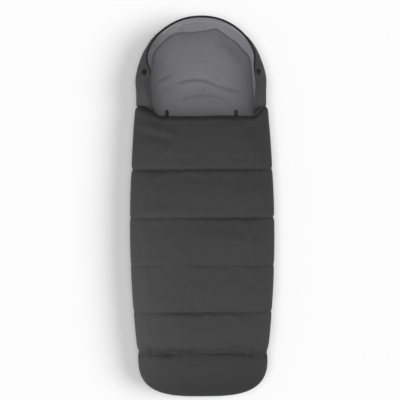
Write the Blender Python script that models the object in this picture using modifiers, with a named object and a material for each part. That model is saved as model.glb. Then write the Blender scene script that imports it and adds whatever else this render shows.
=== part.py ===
"""Stroller footmuff, lying on its back with both side zips closed.

+Y runs from the toes to the hood, +Z out of the cover and +X across. The origin is on the floor
under the middle of the bag. Every length is in metres.
"""

import math

import bmesh
import bpy
from mathutils import Matrix, Vector

# Lengths in plan, from the toe end up to the top of the hood
TOE_LENGTH = 0.113
LOWER_CHANNEL_LENGTH = 0.0995
CHANNEL_LENGTH = 0.1245
CHANNEL_COUNT = 3
FLAP_LENGTH = 0.132
FLAP_CORNER_RISE = 0.029
NECK_LENGTH = 0.072
ARCH_LENGTH = 0.190

# Widths in plan: the sides bow out as one circular arc each
HIP_WIDTH = 0.372
SIDE_BOW = 0.0185
HIP_TO_CORNER = 0.317

# Heights
TRAY_HEIGHT = 0.045
ZIP_OPENING = 0.015
SIDE_TURN = 0.004
COVER_RISE = 0.039
HOOD_RISE = 0.055
HOOD_TOP_DROP = 0.014

# Fabric, padding and the clearance between one layer and the next
SKIN = 0.0012
GAP = 0.0003
JOINT_GAP = 0.0005
FLOOR_PAD = 0.010
HOOD_PAD = 0.005
SEAM_PAD = 0.002
PUFF = 0.009
INNER_PUFF = 0.005

# Rounding of the tray's lower edge, beside the body and round the head
CORNER_WIDTH = 0.045
HEAD_CORNER_WIDTH = 0.034

# How far each edge lies inside the outline
ZIP_RECESS = 0.007
HEAD_RECESS = 0.014
RIM_SIDE_INSET = 0.031
RIM_TOP_INSET = 0.002

# Hinge lines stand a little over the seams, and the flap keeps clear of the hood as it swings
HINGE_RISE = 0.004
HOOD_CLEARANCE = 0.001

# Zips
TAPE = 0.0008
COIL_RADIUS = 0.0013
PULL_TO_TOE = 0.0035
ZIP_TOP_MARGIN = 0.002
STOP_LENGTH = 0.003
STOP_WIDTH = 0.003
SLIDER_LENGTH = 0.012
SLIDER_HEIGHT = 0.009
SLIDER_PLATE = 0.001
SLIDER_WEB = 0.0012
SLIDER_CLEARANCE = 0.0004
LIP_REACH = 0.0042
LIP_THICKNESS = 0.0009
PIVOT_RADIUS = 0.0008
PULL_EYE_WALL = 0.0009
PULL_CLEARANCE = 0.0003
PULL_LENGTH = 0.030
PULL_THICKNESS = 0.0016
PULL_HEIGHT = 0.005

# Hood edge: binding, drawcord and eyelets
BINDING = 0.002
BINDING_GAP = 0.0008
CORD_RADIUS = 0.0012
KNOT_RADIUS = 0.0026
CORD_TAIL = 0.012
EYELET_FLANGE = 0.005
EYELET_BORE = 0.0019
EYELET_WALL = 0.0008
EYELET_THICKNESS = 0.0009
EYELET_LIFT = 0.0005

# Harness slots through the back
SLOT_WIDTH = 0.006
SLOT_WALL = 0.0008
SLOT_LIP = 0.0006
SHOULDER_SLOT_LENGTH = 0.090
SHOULDER_SLOT_TOP = 0.021
SLOT_FROM_EDGE = 0.0315
HIP_SLOT_LENGTH = 0.045
HIP_SLOT_DROP = 0.190
HIP_SLOT_FROM_EDGE = 0.022
CROTCH_SLOT_LENGTH = 0.045
CROTCH_SLOT_DROP = 0.240

# How far cutters run past what they cut, and how close points are that are one
OVERRUN = 0.004
WELD = 0.00002

# Shapes of the outlines and sections
HEAD_POWER = 2.14
TOE_POWER = 3.1
COVER_POWER = 2.6
PUFF_POWER = 0.6
TOE_PUFF_POWER = 0.6
RIM_POWER = 1.1

# Counts of facets
HEAD_SPOKE_COUNT = 16
TOE_SPOKE_COUNT = 12
COVER_STEPS = 6
CORNER_STEPS = 4
TOE_CORNER_STEPS = 3
TRAY_ROW_COUNT = 11
NECK_ROW_COUNT = 2
ZIP_STEPS = 13
EYELET_STEPS = 24
EYE_STEPS = 16
HEM_COLUMN_COUNT = 2
DIGIT_COUNT = 7
SHARP_ANGLE = math.radians(40)

# Places along one channel, and across half of the cover from its middle to its zip
CHANNEL_SHARES = (0, 0.15, 0.5, 0.85, 1)
FLAP_SHARES = (0, 0.15, 0.5, 0.84, 1)
FLAP_PUFF_SHARES = (0, 0.65, 1, 0.75, 0.35)
PUFF_ACROSS_SHARES = (1, 1, 0.97, 0.9, 0.75, 0.5, 0.15, 0)
CORNER_RISE_SHARES = (0, 0, 0.02, 0.2, 0.55, 0.85, 1, 1)
TOE_PUFF_REACH_SHARE = 0.35
FLOOR_MIDDLE_SHARE = 0.5
TRAY_PAD_SHARES = (1, 1, 1, 0.95, 0.7, 0.35, 0)

# The hood's wall from the tray's edge to its rim: how it rolls in at the sides, and rises
WALL_SHARES = (0, 0.2, 0.4, 0.58, 0.74, 1)
ROLL_IN_SHARES = (0, 0, 0.05, 0.24, 0.5, 1)
ROLL_UP_SHARES = (0, 0.33, 0.65, 0.9, 1, 0.84)
SIDE_LEAN_SHARES = (1, 0.25, 0.02, 0, 0, 0)
TOP_LEAN_SHARES = (1, 0.6, 0.3, 0.12, 0.04, 0)

# Worked out from the sizes above
TOTAL_LENGTH = (TOE_LENGTH + LOWER_CHANNEL_LENGTH + CHANNEL_COUNT * CHANNEL_LENGTH + FLAP_LENGTH
                + NECK_LENGTH + ARCH_LENGTH)
Y_TOE = TOE_LENGTH - TOTAL_LENGTH / 2
Y_FOLD = Y_TOE + LOWER_CHANNEL_LENGTH + CHANNEL_COUNT * CHANNEL_LENGTH
Y_FLAP = Y_FOLD + FLAP_LENGTH
Y_CORNER = Y_FLAP + FLAP_CORNER_RISE
Y_HOOD = Y_CORNER + HOOD_CLEARANCE
Y_ARCH = Y_FLAP + NECK_LENGTH

HIP_HALF = HIP_WIDTH / 2
ARC_RADIUS = (HIP_TO_CORNER ** 2 + SIDE_BOW ** 2) / (2 * SIDE_BOW)
ARC_X = HIP_HALF - ARC_RADIUS
ARC_Y = Y_CORNER - HIP_TO_CORNER
ZIP_RADIUS = ARC_RADIUS - ZIP_RECESS - SKIN / 2
HOOD_HALF = HIP_HALF - SIDE_BOW

Z_COVER_EDGE = TRAY_HEIGHT + ZIP_OPENING
Z_SIDE = Z_COVER_EDGE + SIDE_TURN
Z_SEAM = Z_SIDE + COVER_RISE
Z_HINGE = Z_SEAM + HINGE_RISE
Z_ZIP = TRAY_HEIGHT + ZIP_OPENING / 2
Z_TOE_SIDE = Z_ZIP

COIL_OFFSET = SLIDER_WEB / 2 + SLIDER_CLEARANCE + COIL_RADIUS
STACK = 2 * SKIN + 2 * GAP
FLAP_REACH = Y_CORNER - Y_FOLD


def above_fold(reach, z):
    """The y of a point at height z that swings about the fold on a circle of this reach."""
    return Y_FOLD + math.sqrt(reach ** 2 - (Z_HINGE - z) ** 2)


ZIP_TOP = above_fold(FLAP_REACH, Z_ZIP) - ZIP_TOP_MARGIN
SLIDER_REST = ZIP_TOP - STOP_LENGTH - GAP - SLIDER_LENGTH / 2
SLIDER_END = Y_TOE + PULL_LENGTH + PULL_TO_TOE
ZIP_BOTTOM = SLIDER_END - SLIDER_LENGTH / 2 - GAP - STOP_LENGTH


# Looks of the materials: linear colour, roughness, metallic
FINISHES = {
    "outer_fabric": ((0.052, 0.052, 0.053), 0.85, 0.0),
    "padding": ((0.75, 0.75, 0.74), 0.95, 0.0),
    "lining": ((0.155, 0.152, 0.165), 0.95, 0.0),
    "trim": ((0.018, 0.018, 0.019), 0.7, 0.0),
    "zip_plastic": ((0.02, 0.02, 0.02), 0.45, 0.0),
    "zip_metal": ((0.05, 0.05, 0.052), 0.35, 1.0),
    "cord": ((0.015, 0.015, 0.016), 0.8, 0.0),
}


def clear_scene():
    for obj in list(bpy.data.objects):
        bpy.data.objects.remove(obj)


def make_materials():
    for name, (colour, roughness, metallic) in FINISHES.items():
        material = bpy.data.materials.new(name)
        material.use_nodes = True
        shader = material.node_tree.nodes["Principled BSDF"]
        shader.inputs["Base Color"].default_value = (*colour, 1)
        shader.inputs["Roughness"].default_value = roughness
        shader.inputs["Metallic"].default_value = metallic


def make_collection(name):
    collection = bpy.data.collections.new(name)
    bpy.context.scene.collection.children.link(collection)
    return collection


# Outlines seen from above
def side_half(y):
    """Half the width of the body at y."""
    return ARC_X + math.sqrt(ARC_RADIUS ** 2 - (y - ARC_Y) ** 2)


def body_half(y):
    """Half the width at y, straight above the flap's corners."""
    return side_half(min(y, Y_CORNER))


def zip_half(y):
    """Distance of the zips from the middle at y."""
    return ARC_X + math.sqrt(ZIP_RADIUS ** 2 - (y - ARC_Y) ** 2)


def super_radius(angle, across, along, power):
    """Radius of a superellipse in the direction of angle."""
    x = abs(math.cos(angle)) / across
    y = abs(math.sin(angle)) / along
    return (x ** power + y ** power) ** (-1 / power)


def evenly(start, end, steps):
    return [start + (end - start) * i / steps for i in range(steps + 1)]


# Sections: lists of (distance out from the middle, height)
def tray_section(edge, corner_width):
    """Floor, rounded corner and upright edge of the back."""
    flat = edge - corner_width
    points = [(0, 0), (flat * FLOOR_MIDDLE_SHARE, 0), (flat, 0)]
    for angle in evenly(0, math.pi / 2, CORNER_STEPS)[1:]:
        points.append((flat + corner_width * math.sin(angle), TRAY_HEIGHT * (1 - math.cos(angle))))
    return points


def dome(half, z_low, rise, steps):
    """A flat-topped dome from its middle down to its outer edge."""
    power = 2 / COVER_POWER
    points = [(0, z_low + rise)]
    for angle in evenly(math.pi / 2, 0, steps)[1:]:
        out = half * math.cos(angle) ** power
        points.append((out, z_low + rise * math.sin(angle) ** power))
    return points


def cover_section(half):
    """Cover from its middle over the side and in to the zip."""
    return dome(half, Z_SIDE, COVER_RISE, COVER_STEPS) + [(half - ZIP_RECESS, Z_COVER_EDGE)]


def toe_section(radius):
    """Toe box from the middle of its floor, round its side and back over its top."""
    flat = radius - CORNER_WIDTH
    points = [(0, 0), (flat * FLOOR_MIDDLE_SHARE, 0), (flat, 0)]
    for angle in evenly(0, math.pi / 2, TOE_CORNER_STEPS)[1:]:
        points.append((flat + CORNER_WIDTH * math.sin(angle), Z_TOE_SIDE * (1 - math.cos(angle))))
    top = dome(radius, Z_TOE_SIDE, Z_SEAM - Z_TOE_SIDE, COVER_STEPS)
    return points + top[-2::-1]


def side_share(angle):
    """1 where the hood's rim rolls in at the sides, 0 at the top of the head."""
    return (1 - math.sin(angle)) ** RIM_POWER


def rim_inset(share):
    return RIM_TOP_INSET + (RIM_SIDE_INSET - RIM_TOP_INSET) * share


def tray_recess(share):
    return HEAD_RECESS + (ZIP_RECESS - HEAD_RECESS) * share


def hood_section(radius, share):
    """Hood wall from the tray's edge up to its rim."""
    low = TRAY_HEIGHT + GAP
    rise = HOOD_RISE - HOOD_TOP_DROP * (1 - share)
    points = []
    tables = zip(WALL_SHARES, ROLL_IN_SHARES, ROLL_UP_SHARES, SIDE_LEAN_SHARES, TOP_LEAN_SHARES)
    for plain, roll_in, roll_up, side_lean, top_lean in tables:
        lean = tray_recess(share) * (share * side_lean + (1 - share) * top_lean)
        inset = rim_inset(share) * roll_in
        up = share * roll_up + (1 - share) * plain
        points.append((radius - lean - inset, low + rise * up))
    return points


def normals(section, turn, first=None, last=None):
    """Directions into the bag at each point of a section."""
    found = []
    for i in range(len(section)):
        before = section[max(i - 1, 0)]
        after = section[min(i + 1, len(section) - 1)]
        out, up = after[0] - before[0], after[1] - before[1]
        length = math.hypot(out, up)
        found.append((-turn * up / length, turn * out / length))
    if first:
        found[0] = first
    if last:
        found[-1] = last
    return found


def sunk(section, directions, depths):
    """The section moved into the bag by its depths."""
    return [(p[0] + d[0] * t, p[1] + d[1] * t) for p, d, t in zip(section, directions, depths)]


LEVEL = (-1, 0)
UP = (0, 1)
DOWN = (0, -1)
LAYERS = (("shell", "outer_fabric"), ("padding", "padding"), ("lining", "lining"))


def stack_depths(pads, puffs):
    """Depths of the faces of shell, padding and lining, from the outside in."""
    starts = [-puff for puff in puffs]
    steps = [0, SKIN, SKIN + GAP]
    faces = [[start + step for start in starts] for step in steps]
    steps = [SKIN + GAP, SKIN + 2 * GAP, 2 * SKIN + 2 * GAP]
    for step in steps:
        faces.append([start + pad + step for start, pad in zip(starts, pads)])
    return faces


def row(side, section, ys):
    """A section set across the bag, towards one side."""
    return [(side * out, y, up) for (out, up), y in zip(section, ys)]


def spoke(angle, section, y_centre):
    """A section set outwards from a centre on the middle line."""
    return [(out * math.cos(angle), y_centre + out * math.sin(angle), up) for out, up in section]


# Layers: closed solids between two faces of the stack
def tile(stations):
    """Number the points of neighbouring stations, shared where they meet, and tile between them."""
    numbers = {}
    rows = []
    for station in stations:
        keys = [tuple(round(c, DIGIT_COUNT) for c in point) for point in station]
        rows.append([numbers.setdefault(key, len(numbers)) for key in keys])
    triangles = []
    middle = len(rows) // 2
    for i, (a, b) in enumerate(zip(rows, rows[1:])):
        for j in range(len(a) - 1):
            # The diagonals of the second half mirror those of the first
            pair = ((a[j], b[j], a[j + 1]), (b[j], b[j + 1], a[j + 1]))
            if i >= middle:
                pair = ((a[j], b[j], b[j + 1]), (a[j], b[j + 1], a[j + 1]))
            triangles += [corners for corners in pair if len(set(corners)) == len(corners)]
    return rows, len(numbers), triangles


def between(outer, inner):
    """Points and triangles of the closed solid between two matching nets of stations."""
    rows, count, triangles = tile(outer)
    points = [None] * (2 * count)
    for row_ids, outer_row, inner_row in zip(rows, outer, inner):
        for number, outside, inside in zip(row_ids, outer_row, inner_row):
            points[number] = outside
            points[number + count] = inside
    sides = set()
    for a, b, c in triangles:
        sides.update(((a, b), (b, c), (c, a)))
    faces = list(triangles)
    faces += [(c + count, b + count, a + count) for a, b, c in triangles]
    for a, b in sorted(sides):
        if (b, a) not in sides:
            faces += [(b, a, a + count), (b, a + count, b + count)]
    return points, faces


def finish_mesh(mesh):
    """Turn faces outwards and shade the mesh smooth."""
    bm = bmesh.new()
    bm.from_mesh(mesh)
    bmesh.ops.recalc_face_normals(bm, faces=bm.faces)
    bm.to_mesh(mesh)
    bm.free()
    mesh.shade_smooth()
    mesh.set_sharp_from_angle(angle=SHARP_ANGLE)


def place(name, data, finish, collection, pivot=None):
    """Add an object, whose data is in world places, with its origin at the pivot it turns on."""
    obj = bpy.data.objects.new(name, data)
    data.materials.append(bpy.data.materials[finish])
    collection.objects.link(obj)
    if pivot:
        data.transform(Matrix.Translation(-pivot.location))
        obj.parent = pivot
    return obj


def layer(name, outer, inner, finish, collection, pivot=None):
    points, faces = between(outer, inner)
    mesh = bpy.data.meshes.new(name)
    mesh.from_pydata(points, [], faces)
    finish_mesh(mesh)
    return place(name, mesh, finish, collection, pivot)


def three_layers(prefix, nets, collection, pivot=None):
    """Shell, padding and lining from the two faces of each in the stack."""
    made = []
    for i, (word, finish) in enumerate(LAYERS):
        made.append(layer(f"{prefix}_{word}", nets[2 * i], nets[2 * i + 1], finish, collection, pivot))
    return made


def empty_at(name, location, collection, parent=None):
    pivot = bpy.data.objects.new(name, None)
    pivot.location = location
    collection.objects.link(pivot)
    if parent:
        pivot.parent = parent
        pivot.location = Vector(location) - parent.location
    return pivot


# Tray: the back of the bag, with its sides, as rows up the body and spokes round the head
def with_left(right, spokes):
    """Stations from the right, round the head where there are spokes, to the left."""
    return right + spokes + [(-1, *values[1:]) for values in reversed(right)]


def tray_rows(ys):
    return [(1, y, body_half(y) - ZIP_RECESS, CORNER_WIDTH) for y in ys]


def tray_spokes():
    spokes = []
    for angle in evenly(0, math.pi, HEAD_SPOKE_COUNT)[1:-1]:
        radius = super_radius(angle, HOOD_HALF, ARCH_LENGTH, HEAD_POWER)
        share = side_share(angle)
        corner = HEAD_CORNER_WIDTH + (CORNER_WIDTH - HEAD_CORNER_WIDTH) * share
        spokes.append((0, angle, radius - tray_recess(share), corner))
    return spokes


def tray_net(stations, depths):
    """One face of the back's layers, moved in by its depths."""
    net = []
    for side, where, edge, corner in stations:
        section = tray_section(edge, corner)
        moved = sunk(section, normals(section, 1, UP, LEVEL), depths)
        if side:
            net.append(row(side, moved, [where] * len(moved)))
        else:
            net.append(spoke(where, moved, Y_ARCH))
    return net


def rows_across(net):
    """Whole rows, right edge to left, from a net whose left half is in reverse."""
    half = len(net) // 2
    return [right[::-1] + left[1:] for right, left in zip(net[:half], reversed(net[half:]))]


def make_tray(collection):
    """Shell and padding in two panels that meet at the neck, and the lining in one piece."""
    pads = [HOOD_PAD + (FLOOR_PAD - HOOD_PAD) * share for share in TRAY_PAD_SHARES]
    faces = stack_depths(pads, [0] * len(pads))
    start, half_gap = Y_TOE + JOINT_GAP / 2, JOINT_GAP / 2
    body = with_left(tray_rows(evenly(start, Y_HOOD - half_gap, TRAY_ROW_COUNT)), [])
    top = with_left(tray_rows(evenly(Y_HOOD + half_gap, Y_ARCH, NECK_ROW_COUNT)), tray_spokes())
    ys = evenly(start, Y_HOOD, TRAY_ROW_COUNT) + evenly(Y_HOOD, Y_ARCH, NECK_ROW_COUNT)[1:]
    whole = with_left(tray_rows(ys), tray_spokes())
    made = []
    for i, (word, finish) in enumerate(LAYERS):
        outer, inner = faces[2 * i], faces[2 * i + 1]
        if word == "lining":
            made.append(layer(f"back_{word}", tray_net(whole, outer), tray_net(whole, inner),
                              finish, collection))
            continue
        made.append(layer(f"back_{word}", rows_across(tray_net(body, outer)),
                          rows_across(tray_net(body, inner)), finish, collection))
        layer(f"back_top_{word}", tray_net(top, outer), tray_net(top, inner), finish, collection)
    return made


# Toe box: spokes from one side, round the toe end, to the other
def make_toe(collection):
    nets = [[] for _ in range(2 * len(LAYERS))]
    centre = Y_TOE - JOINT_GAP / 2
    for angle in evenly(-math.pi, 0, TOE_SPOKE_COUNT):
        radius = super_radius(angle, side_half(Y_TOE), TOE_LENGTH, TOE_POWER)
        section = toe_section(radius)
        directions = normals(section, 1, UP, DOWN)
        low = len(section) - COVER_STEPS
        pads = [FLOOR_PAD] * low
        puffs = [0] * low
        reach = TOE_LENGTH * TOE_PUFF_REACH_SHARE
        across = PUFF_ACROSS_SHARES[COVER_STEPS - 1::-1]
        for (out, _), share in zip(section[low:], across):
            away = abs(out * math.sin(angle))
            swell = share * min(1, away / reach) ** TOE_PUFF_POWER
            puffs.append(PUFF * swell)
            pads.append(SEAM_PAD + (PUFF + INNER_PUFF) * swell)
        for net, depths in zip(nets, stack_depths(pads, puffs)):
            net.append(spoke(angle, sunk(section, directions, depths), centre))
    return three_layers("toe", nets, collection)


# Hood: the wall round the head, its rim rolled in at the sides
def hood_stations():
    right = [(1, y, HOOD_HALF, 1) for y in evenly(Y_HOOD, Y_ARCH, NECK_ROW_COUNT)]
    spokes = []
    for angle in evenly(0, math.pi, HEAD_SPOKE_COUNT)[1:-1]:
        radius = super_radius(angle, HOOD_HALF, ARCH_LENGTH, HEAD_POWER)
        spokes.append((0, angle, radius, side_share(angle)))
    return with_left(right, spokes)


def hood_point(station, out, up):
    """A point of the section at a hood station, in the bag's frame."""
    side, where, _, _ = station
    if side:
        return Vector((side * out, where, up))
    return Vector((out * math.cos(where), Y_ARCH + out * math.sin(where), up))


def make_hood(collection):
    count = len(WALL_SHARES)
    faces = stack_depths([HOOD_PAD] * count, [0] * count)
    nets = [[] for _ in faces]
    binding = [[], []]
    channel = []
    for station in hood_stations():
        _, _, radius, share = station
        section = hood_section(radius, share)
        directions = normals(section, 1, LEVEL)
        for net, depths in zip(nets, faces):
            net.append([hood_point(station, *p) for p in sunk(section, directions, depths)])
        along = Vector(section[-1]) - Vector(section[-2])
        along.normalize()
        across = Vector(directions[-1]) * (STACK + HOOD_PAD)
        for strip, reach in zip(binding, (BINDING_GAP, BINDING_GAP + BINDING)):
            edge = Vector(section[-1]) + along * reach
            strip.append([hood_point(station, *edge), hood_point(station, *(edge + across))])
        middle = sunk(section, directions, [(STACK + HOOD_PAD) / 2] * count)
        hem = (Vector(middle[-1]) + Vector(middle[-2])) / 2
        channel.append(hood_point(station, *hem))
    # The padding stops short of the rim, where the hem is a channel for the drawcord
    for net in nets[2:4]:
        for points in net:
            del points[-HEM_COLUMN_COUNT:]
    made = three_layers("hood", nets, collection)
    layer("rim_binding", binding[0], binding[1], "trim", collection)
    return made, nets[0], channel


# Cover and flap: rows across the bag, swollen between the sewn channels
def cover_rows():
    """Places and swelling along the cover, from the toe seam to the fold."""
    seams = [Y_TOE, Y_TOE + LOWER_CHANNEL_LENGTH]
    for _ in range(CHANNEL_COUNT):
        seams.append(seams[-1] + CHANNEL_LENGTH)
    seams[0] += JOINT_GAP / 2
    seams[-1] -= JOINT_GAP / 2
    rows = []
    for low, high in zip(seams, seams[1:]):
        for share in CHANNEL_SHARES[:-1]:
            rows.append((low + (high - low) * share, math.sin(math.pi * share) ** PUFF_POWER))
    rows.append((seams[-1], 0))
    return rows


def quilted(rows_of_ys, prefix, collection, pivot):
    """Shell, padding and lining over rows of (y of each column, swelling)."""
    nets = [[] for _ in range(2 * len(LAYERS))]
    for ys, swell in rows_of_ys:
        stations = [[] for _ in nets]
        for side in (1, -1):
            section = [cover_section(side_half(y))[j] for j, y in enumerate(ys)]
            directions = normals(section, -1, DOWN, LEVEL)
            puffs = [PUFF * swell * share for share in PUFF_ACROSS_SHARES]
            pads = [SEAM_PAD + (PUFF + INNER_PUFF) * swell * share for share in PUFF_ACROSS_SHARES]
            for station, depths in zip(stations, stack_depths(pads, puffs)):
                points = row(side, sunk(section, directions, depths), ys)
                station += points[::-1] if side > 0 else points[1:]
        for net, station in zip(nets, stations):
            net.append(station)
    return three_layers(prefix, nets, collection, pivot)


def make_cover(collection, pivot):
    columns = len(PUFF_ACROSS_SHARES)
    rows = [([y] * columns, swell) for y, swell in cover_rows()]
    return quilted(rows, "cover", collection, pivot)


def make_flap(collection, pivot):
    start = Y_FOLD + JOINT_GAP / 2
    heights = [up for _, up in cover_section(HOOD_HALF)]
    ends = []
    for rise, z in zip(CORNER_RISE_SHARES, heights):
        ends.append(above_fold(FLAP_LENGTH + FLAP_CORNER_RISE * rise, z))
    rows = []
    for share, swell in zip(FLAP_SHARES, FLAP_PUFF_SHARES):
        rows.append(([start + (end - start) * share for end in ends], swell))
    return quilted(rows, "flap", collection, pivot)


# Zips
def zip_line(side, low, high, z):
    """Points of the zip's arc from low to high, at height z."""
    return [(side * zip_half(y), y, z) for y in evenly(low, high, ZIP_STEPS)]


def curve_object(name, points, finish, collection, pivot=None, cyclic=False):
    """A POLY curve through world points, in a new object."""
    data = bpy.data.curves.new(name, "CURVE")
    data.dimensions = "3D"
    data.use_fill_caps = True
    spline = data.splines.new("POLY")
    spline.points.add(len(points) - 1)
    for point, place_at in zip(spline.points, points):
        point.co = (*place_at, 1)
    spline.use_cyclic_u = cyclic
    return place(name, data, finish, collection, pivot)


def ribbon(name, points, height, thickness, finish, collection, pivot=None, cyclic=False):
    """An upright strip of tape along points at its mid height."""
    obj = curve_object(name, points, finish, collection, pivot, cyclic)
    obj.data.use_fill_caps = False
    obj.data.extrude = height / 2
    solid = obj.modifiers.new("thickness", "SOLIDIFY")
    solid.thickness = thickness
    solid.offset = 0
    solid.use_even_offset = True
    return obj


def tube(name, points, radius, finish, collection, pivot=None):
    obj = curve_object(name, points, finish, collection, pivot)
    obj.data.bevel_depth = radius
    obj.data.bevel_resolution = 2
    return obj


def block(name, centre, size, finish, collection, pivot=None):
    """A box at a world place."""
    bm = bmesh.new()
    bmesh.ops.create_cube(bm, size=1)
    bmesh.ops.scale(bm, vec=Vector(size), verts=bm.verts)
    bmesh.ops.translate(bm, vec=Vector(centre), verts=bm.verts)
    mesh = bpy.data.meshes.new(name)
    bm.to_mesh(mesh)
    bm.free()
    return place(name, mesh, finish, collection, pivot)


def make_zip(side, word, collection, cover_pivot, flap_pivot):
    """Tapes, coils and stops of one side's zip."""
    low_coil, high_coil = Z_ZIP - COIL_OFFSET, Z_ZIP + COIL_OFFSET
    edge = COIL_RADIUS + GAP
    tape_height = (low_coil - edge) - (TRAY_HEIGHT + GAP)
    low_tape = TRAY_HEIGHT + GAP + tape_height / 2
    high_tape = Z_COVER_EDGE - GAP - tape_height / 2
    coil_low, coil_high = ZIP_BOTTOM + STOP_LENGTH + GAP, ZIP_TOP - STOP_LENGTH - GAP
    fold_low, fold_high = Y_FOLD - JOINT_GAP / 2, Y_FOLD + JOINT_GAP / 2
    toe_high = Y_TOE + JOINT_GAP / 2
    runs = (
        ("bag", low_tape, low_coil, toe_high, ZIP_TOP, coil_low, ZIP_TOP, None),
        ("cover", high_tape, high_coil, toe_high, fold_low, coil_low, fold_low, cover_pivot),
        ("flap", high_tape, high_coil, fold_high, ZIP_TOP, fold_high, coil_high, flap_pivot),
    )
    for piece, tape_z, coil_z, tape_start, tape_end, coil_start, coil_end, pivot in runs:
        ribbon(f"zip_tape_{piece}_{word}", zip_line(side, tape_start, tape_end, tape_z),
               tape_height, TAPE, "trim", collection, pivot)
        tube(f"zip_coil_{piece}_{word}", zip_line(side, coil_start, coil_end, coil_z),
             COIL_RADIUS, "zip_plastic", collection, pivot)
    stop_y = ZIP_BOTTOM + STOP_LENGTH / 2
    stop_height = 2 * (COIL_OFFSET + COIL_RADIUS)
    block(f"zip_bottom_stop_{word}", (side * zip_half(stop_y), stop_y, Z_ZIP),
          (STOP_WIDTH, STOP_LENGTH, stop_height), "zip_metal", collection)
    stop_y = ZIP_TOP - STOP_LENGTH / 2
    block(f"zip_top_stop_{word}", (side * zip_half(stop_y), stop_y, high_coil),
          (STOP_WIDTH, STOP_LENGTH, 2 * COIL_RADIUS), "zip_metal", collection, flap_pivot)


def mesh_of(obj):
    """Turn a curve object into a mesh object with its caps welded."""
    graph = bpy.context.evaluated_depsgraph_get()
    mesh = bpy.data.meshes.new_from_object(obj.evaluated_get(graph))
    bm = bmesh.new()
    bm.from_mesh(mesh)
    bmesh.ops.remove_doubles(bm, verts=bm.verts, dist=WELD)
    bmesh.ops.recalc_face_normals(bm, faces=bm.faces)
    bm.to_mesh(mesh)
    bm.free()
    name, place_at, collection = obj.name, obj.matrix_world.copy(), obj.users_collection[0]
    bpy.data.objects.remove(obj)
    made = bpy.data.objects.new(name, mesh)
    made.matrix_world = place_at
    collection.objects.link(made)
    return made


def outline_object(name, outlines, depth, finish, collection):
    """A flat outline, with any holes, extruded to a depth about its own plane."""
    data = bpy.data.curves.new(name, "CURVE")
    data.dimensions = "2D"
    data.fill_mode = "BOTH"
    data.extrude = depth / 2
    for outline in outlines:
        spline = data.splines.new("POLY")
        spline.points.add(len(outline) - 1)
        for point, (x, y) in zip(spline.points, outline):
            point.co = (x, y, 0, 1)
        spline.use_cyclic_u = True
    return place(name, data, finish, collection)


# In the slider's own frame x points out of the bag, y along the zip and z up
PLATE_IN = COIL_RADIUS + SLIDER_CLEARANCE
PLATE_OUT = PLATE_IN + SLIDER_PLATE
EYE_BORE = PIVOT_RADIUS + PULL_CLEARANCE
EYE_RADIUS = EYE_BORE + PULL_EYE_WALL
PIVOT_OUT = PLATE_OUT + PULL_CLEARANCE + EYE_RADIUS


def slider_outline():
    """Two plates joined by a web between the coils, with a lip at each edge of the outer plate."""
    half = SLIDER_HEIGHT / 2
    web = SLIDER_WEB / 2
    lip = PLATE_OUT + LIP_REACH
    lip_in = half - LIP_THICKNESS
    upper = [(-PLATE_OUT, web), (-PLATE_OUT, half), (-PLATE_IN, half), (-PLATE_IN, web),
             (PLATE_IN, web), (PLATE_IN, half), (lip, half), (lip, lip_in), (PLATE_OUT, lip_in)]
    lower = [(x, -z) for x, z in reversed(upper)]
    return upper + lower


def slider_frame(side):
    """Place of a slider at rest on its arc: its x outwards, its y along the zip."""
    lean = math.asin((SLIDER_REST - ARC_Y) / ZIP_RADIUS)
    turn = lean if side > 0 else math.pi - lean
    centre = Vector((side * zip_half(SLIDER_REST), SLIDER_REST, Z_ZIP))
    return Matrix.Translation(centre) @ Matrix.Rotation(turn, 4, "Z")


def set_on_pivot(obj, frame, pivot):
    """Put an object made in a slider's frame under the empty it turns on."""
    bpy.context.view_layer.update()
    obj.data.transform(pivot.matrix_world.inverted() @ frame)
    obj.matrix_world = Matrix.Identity(4)
    obj.parent = pivot


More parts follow.
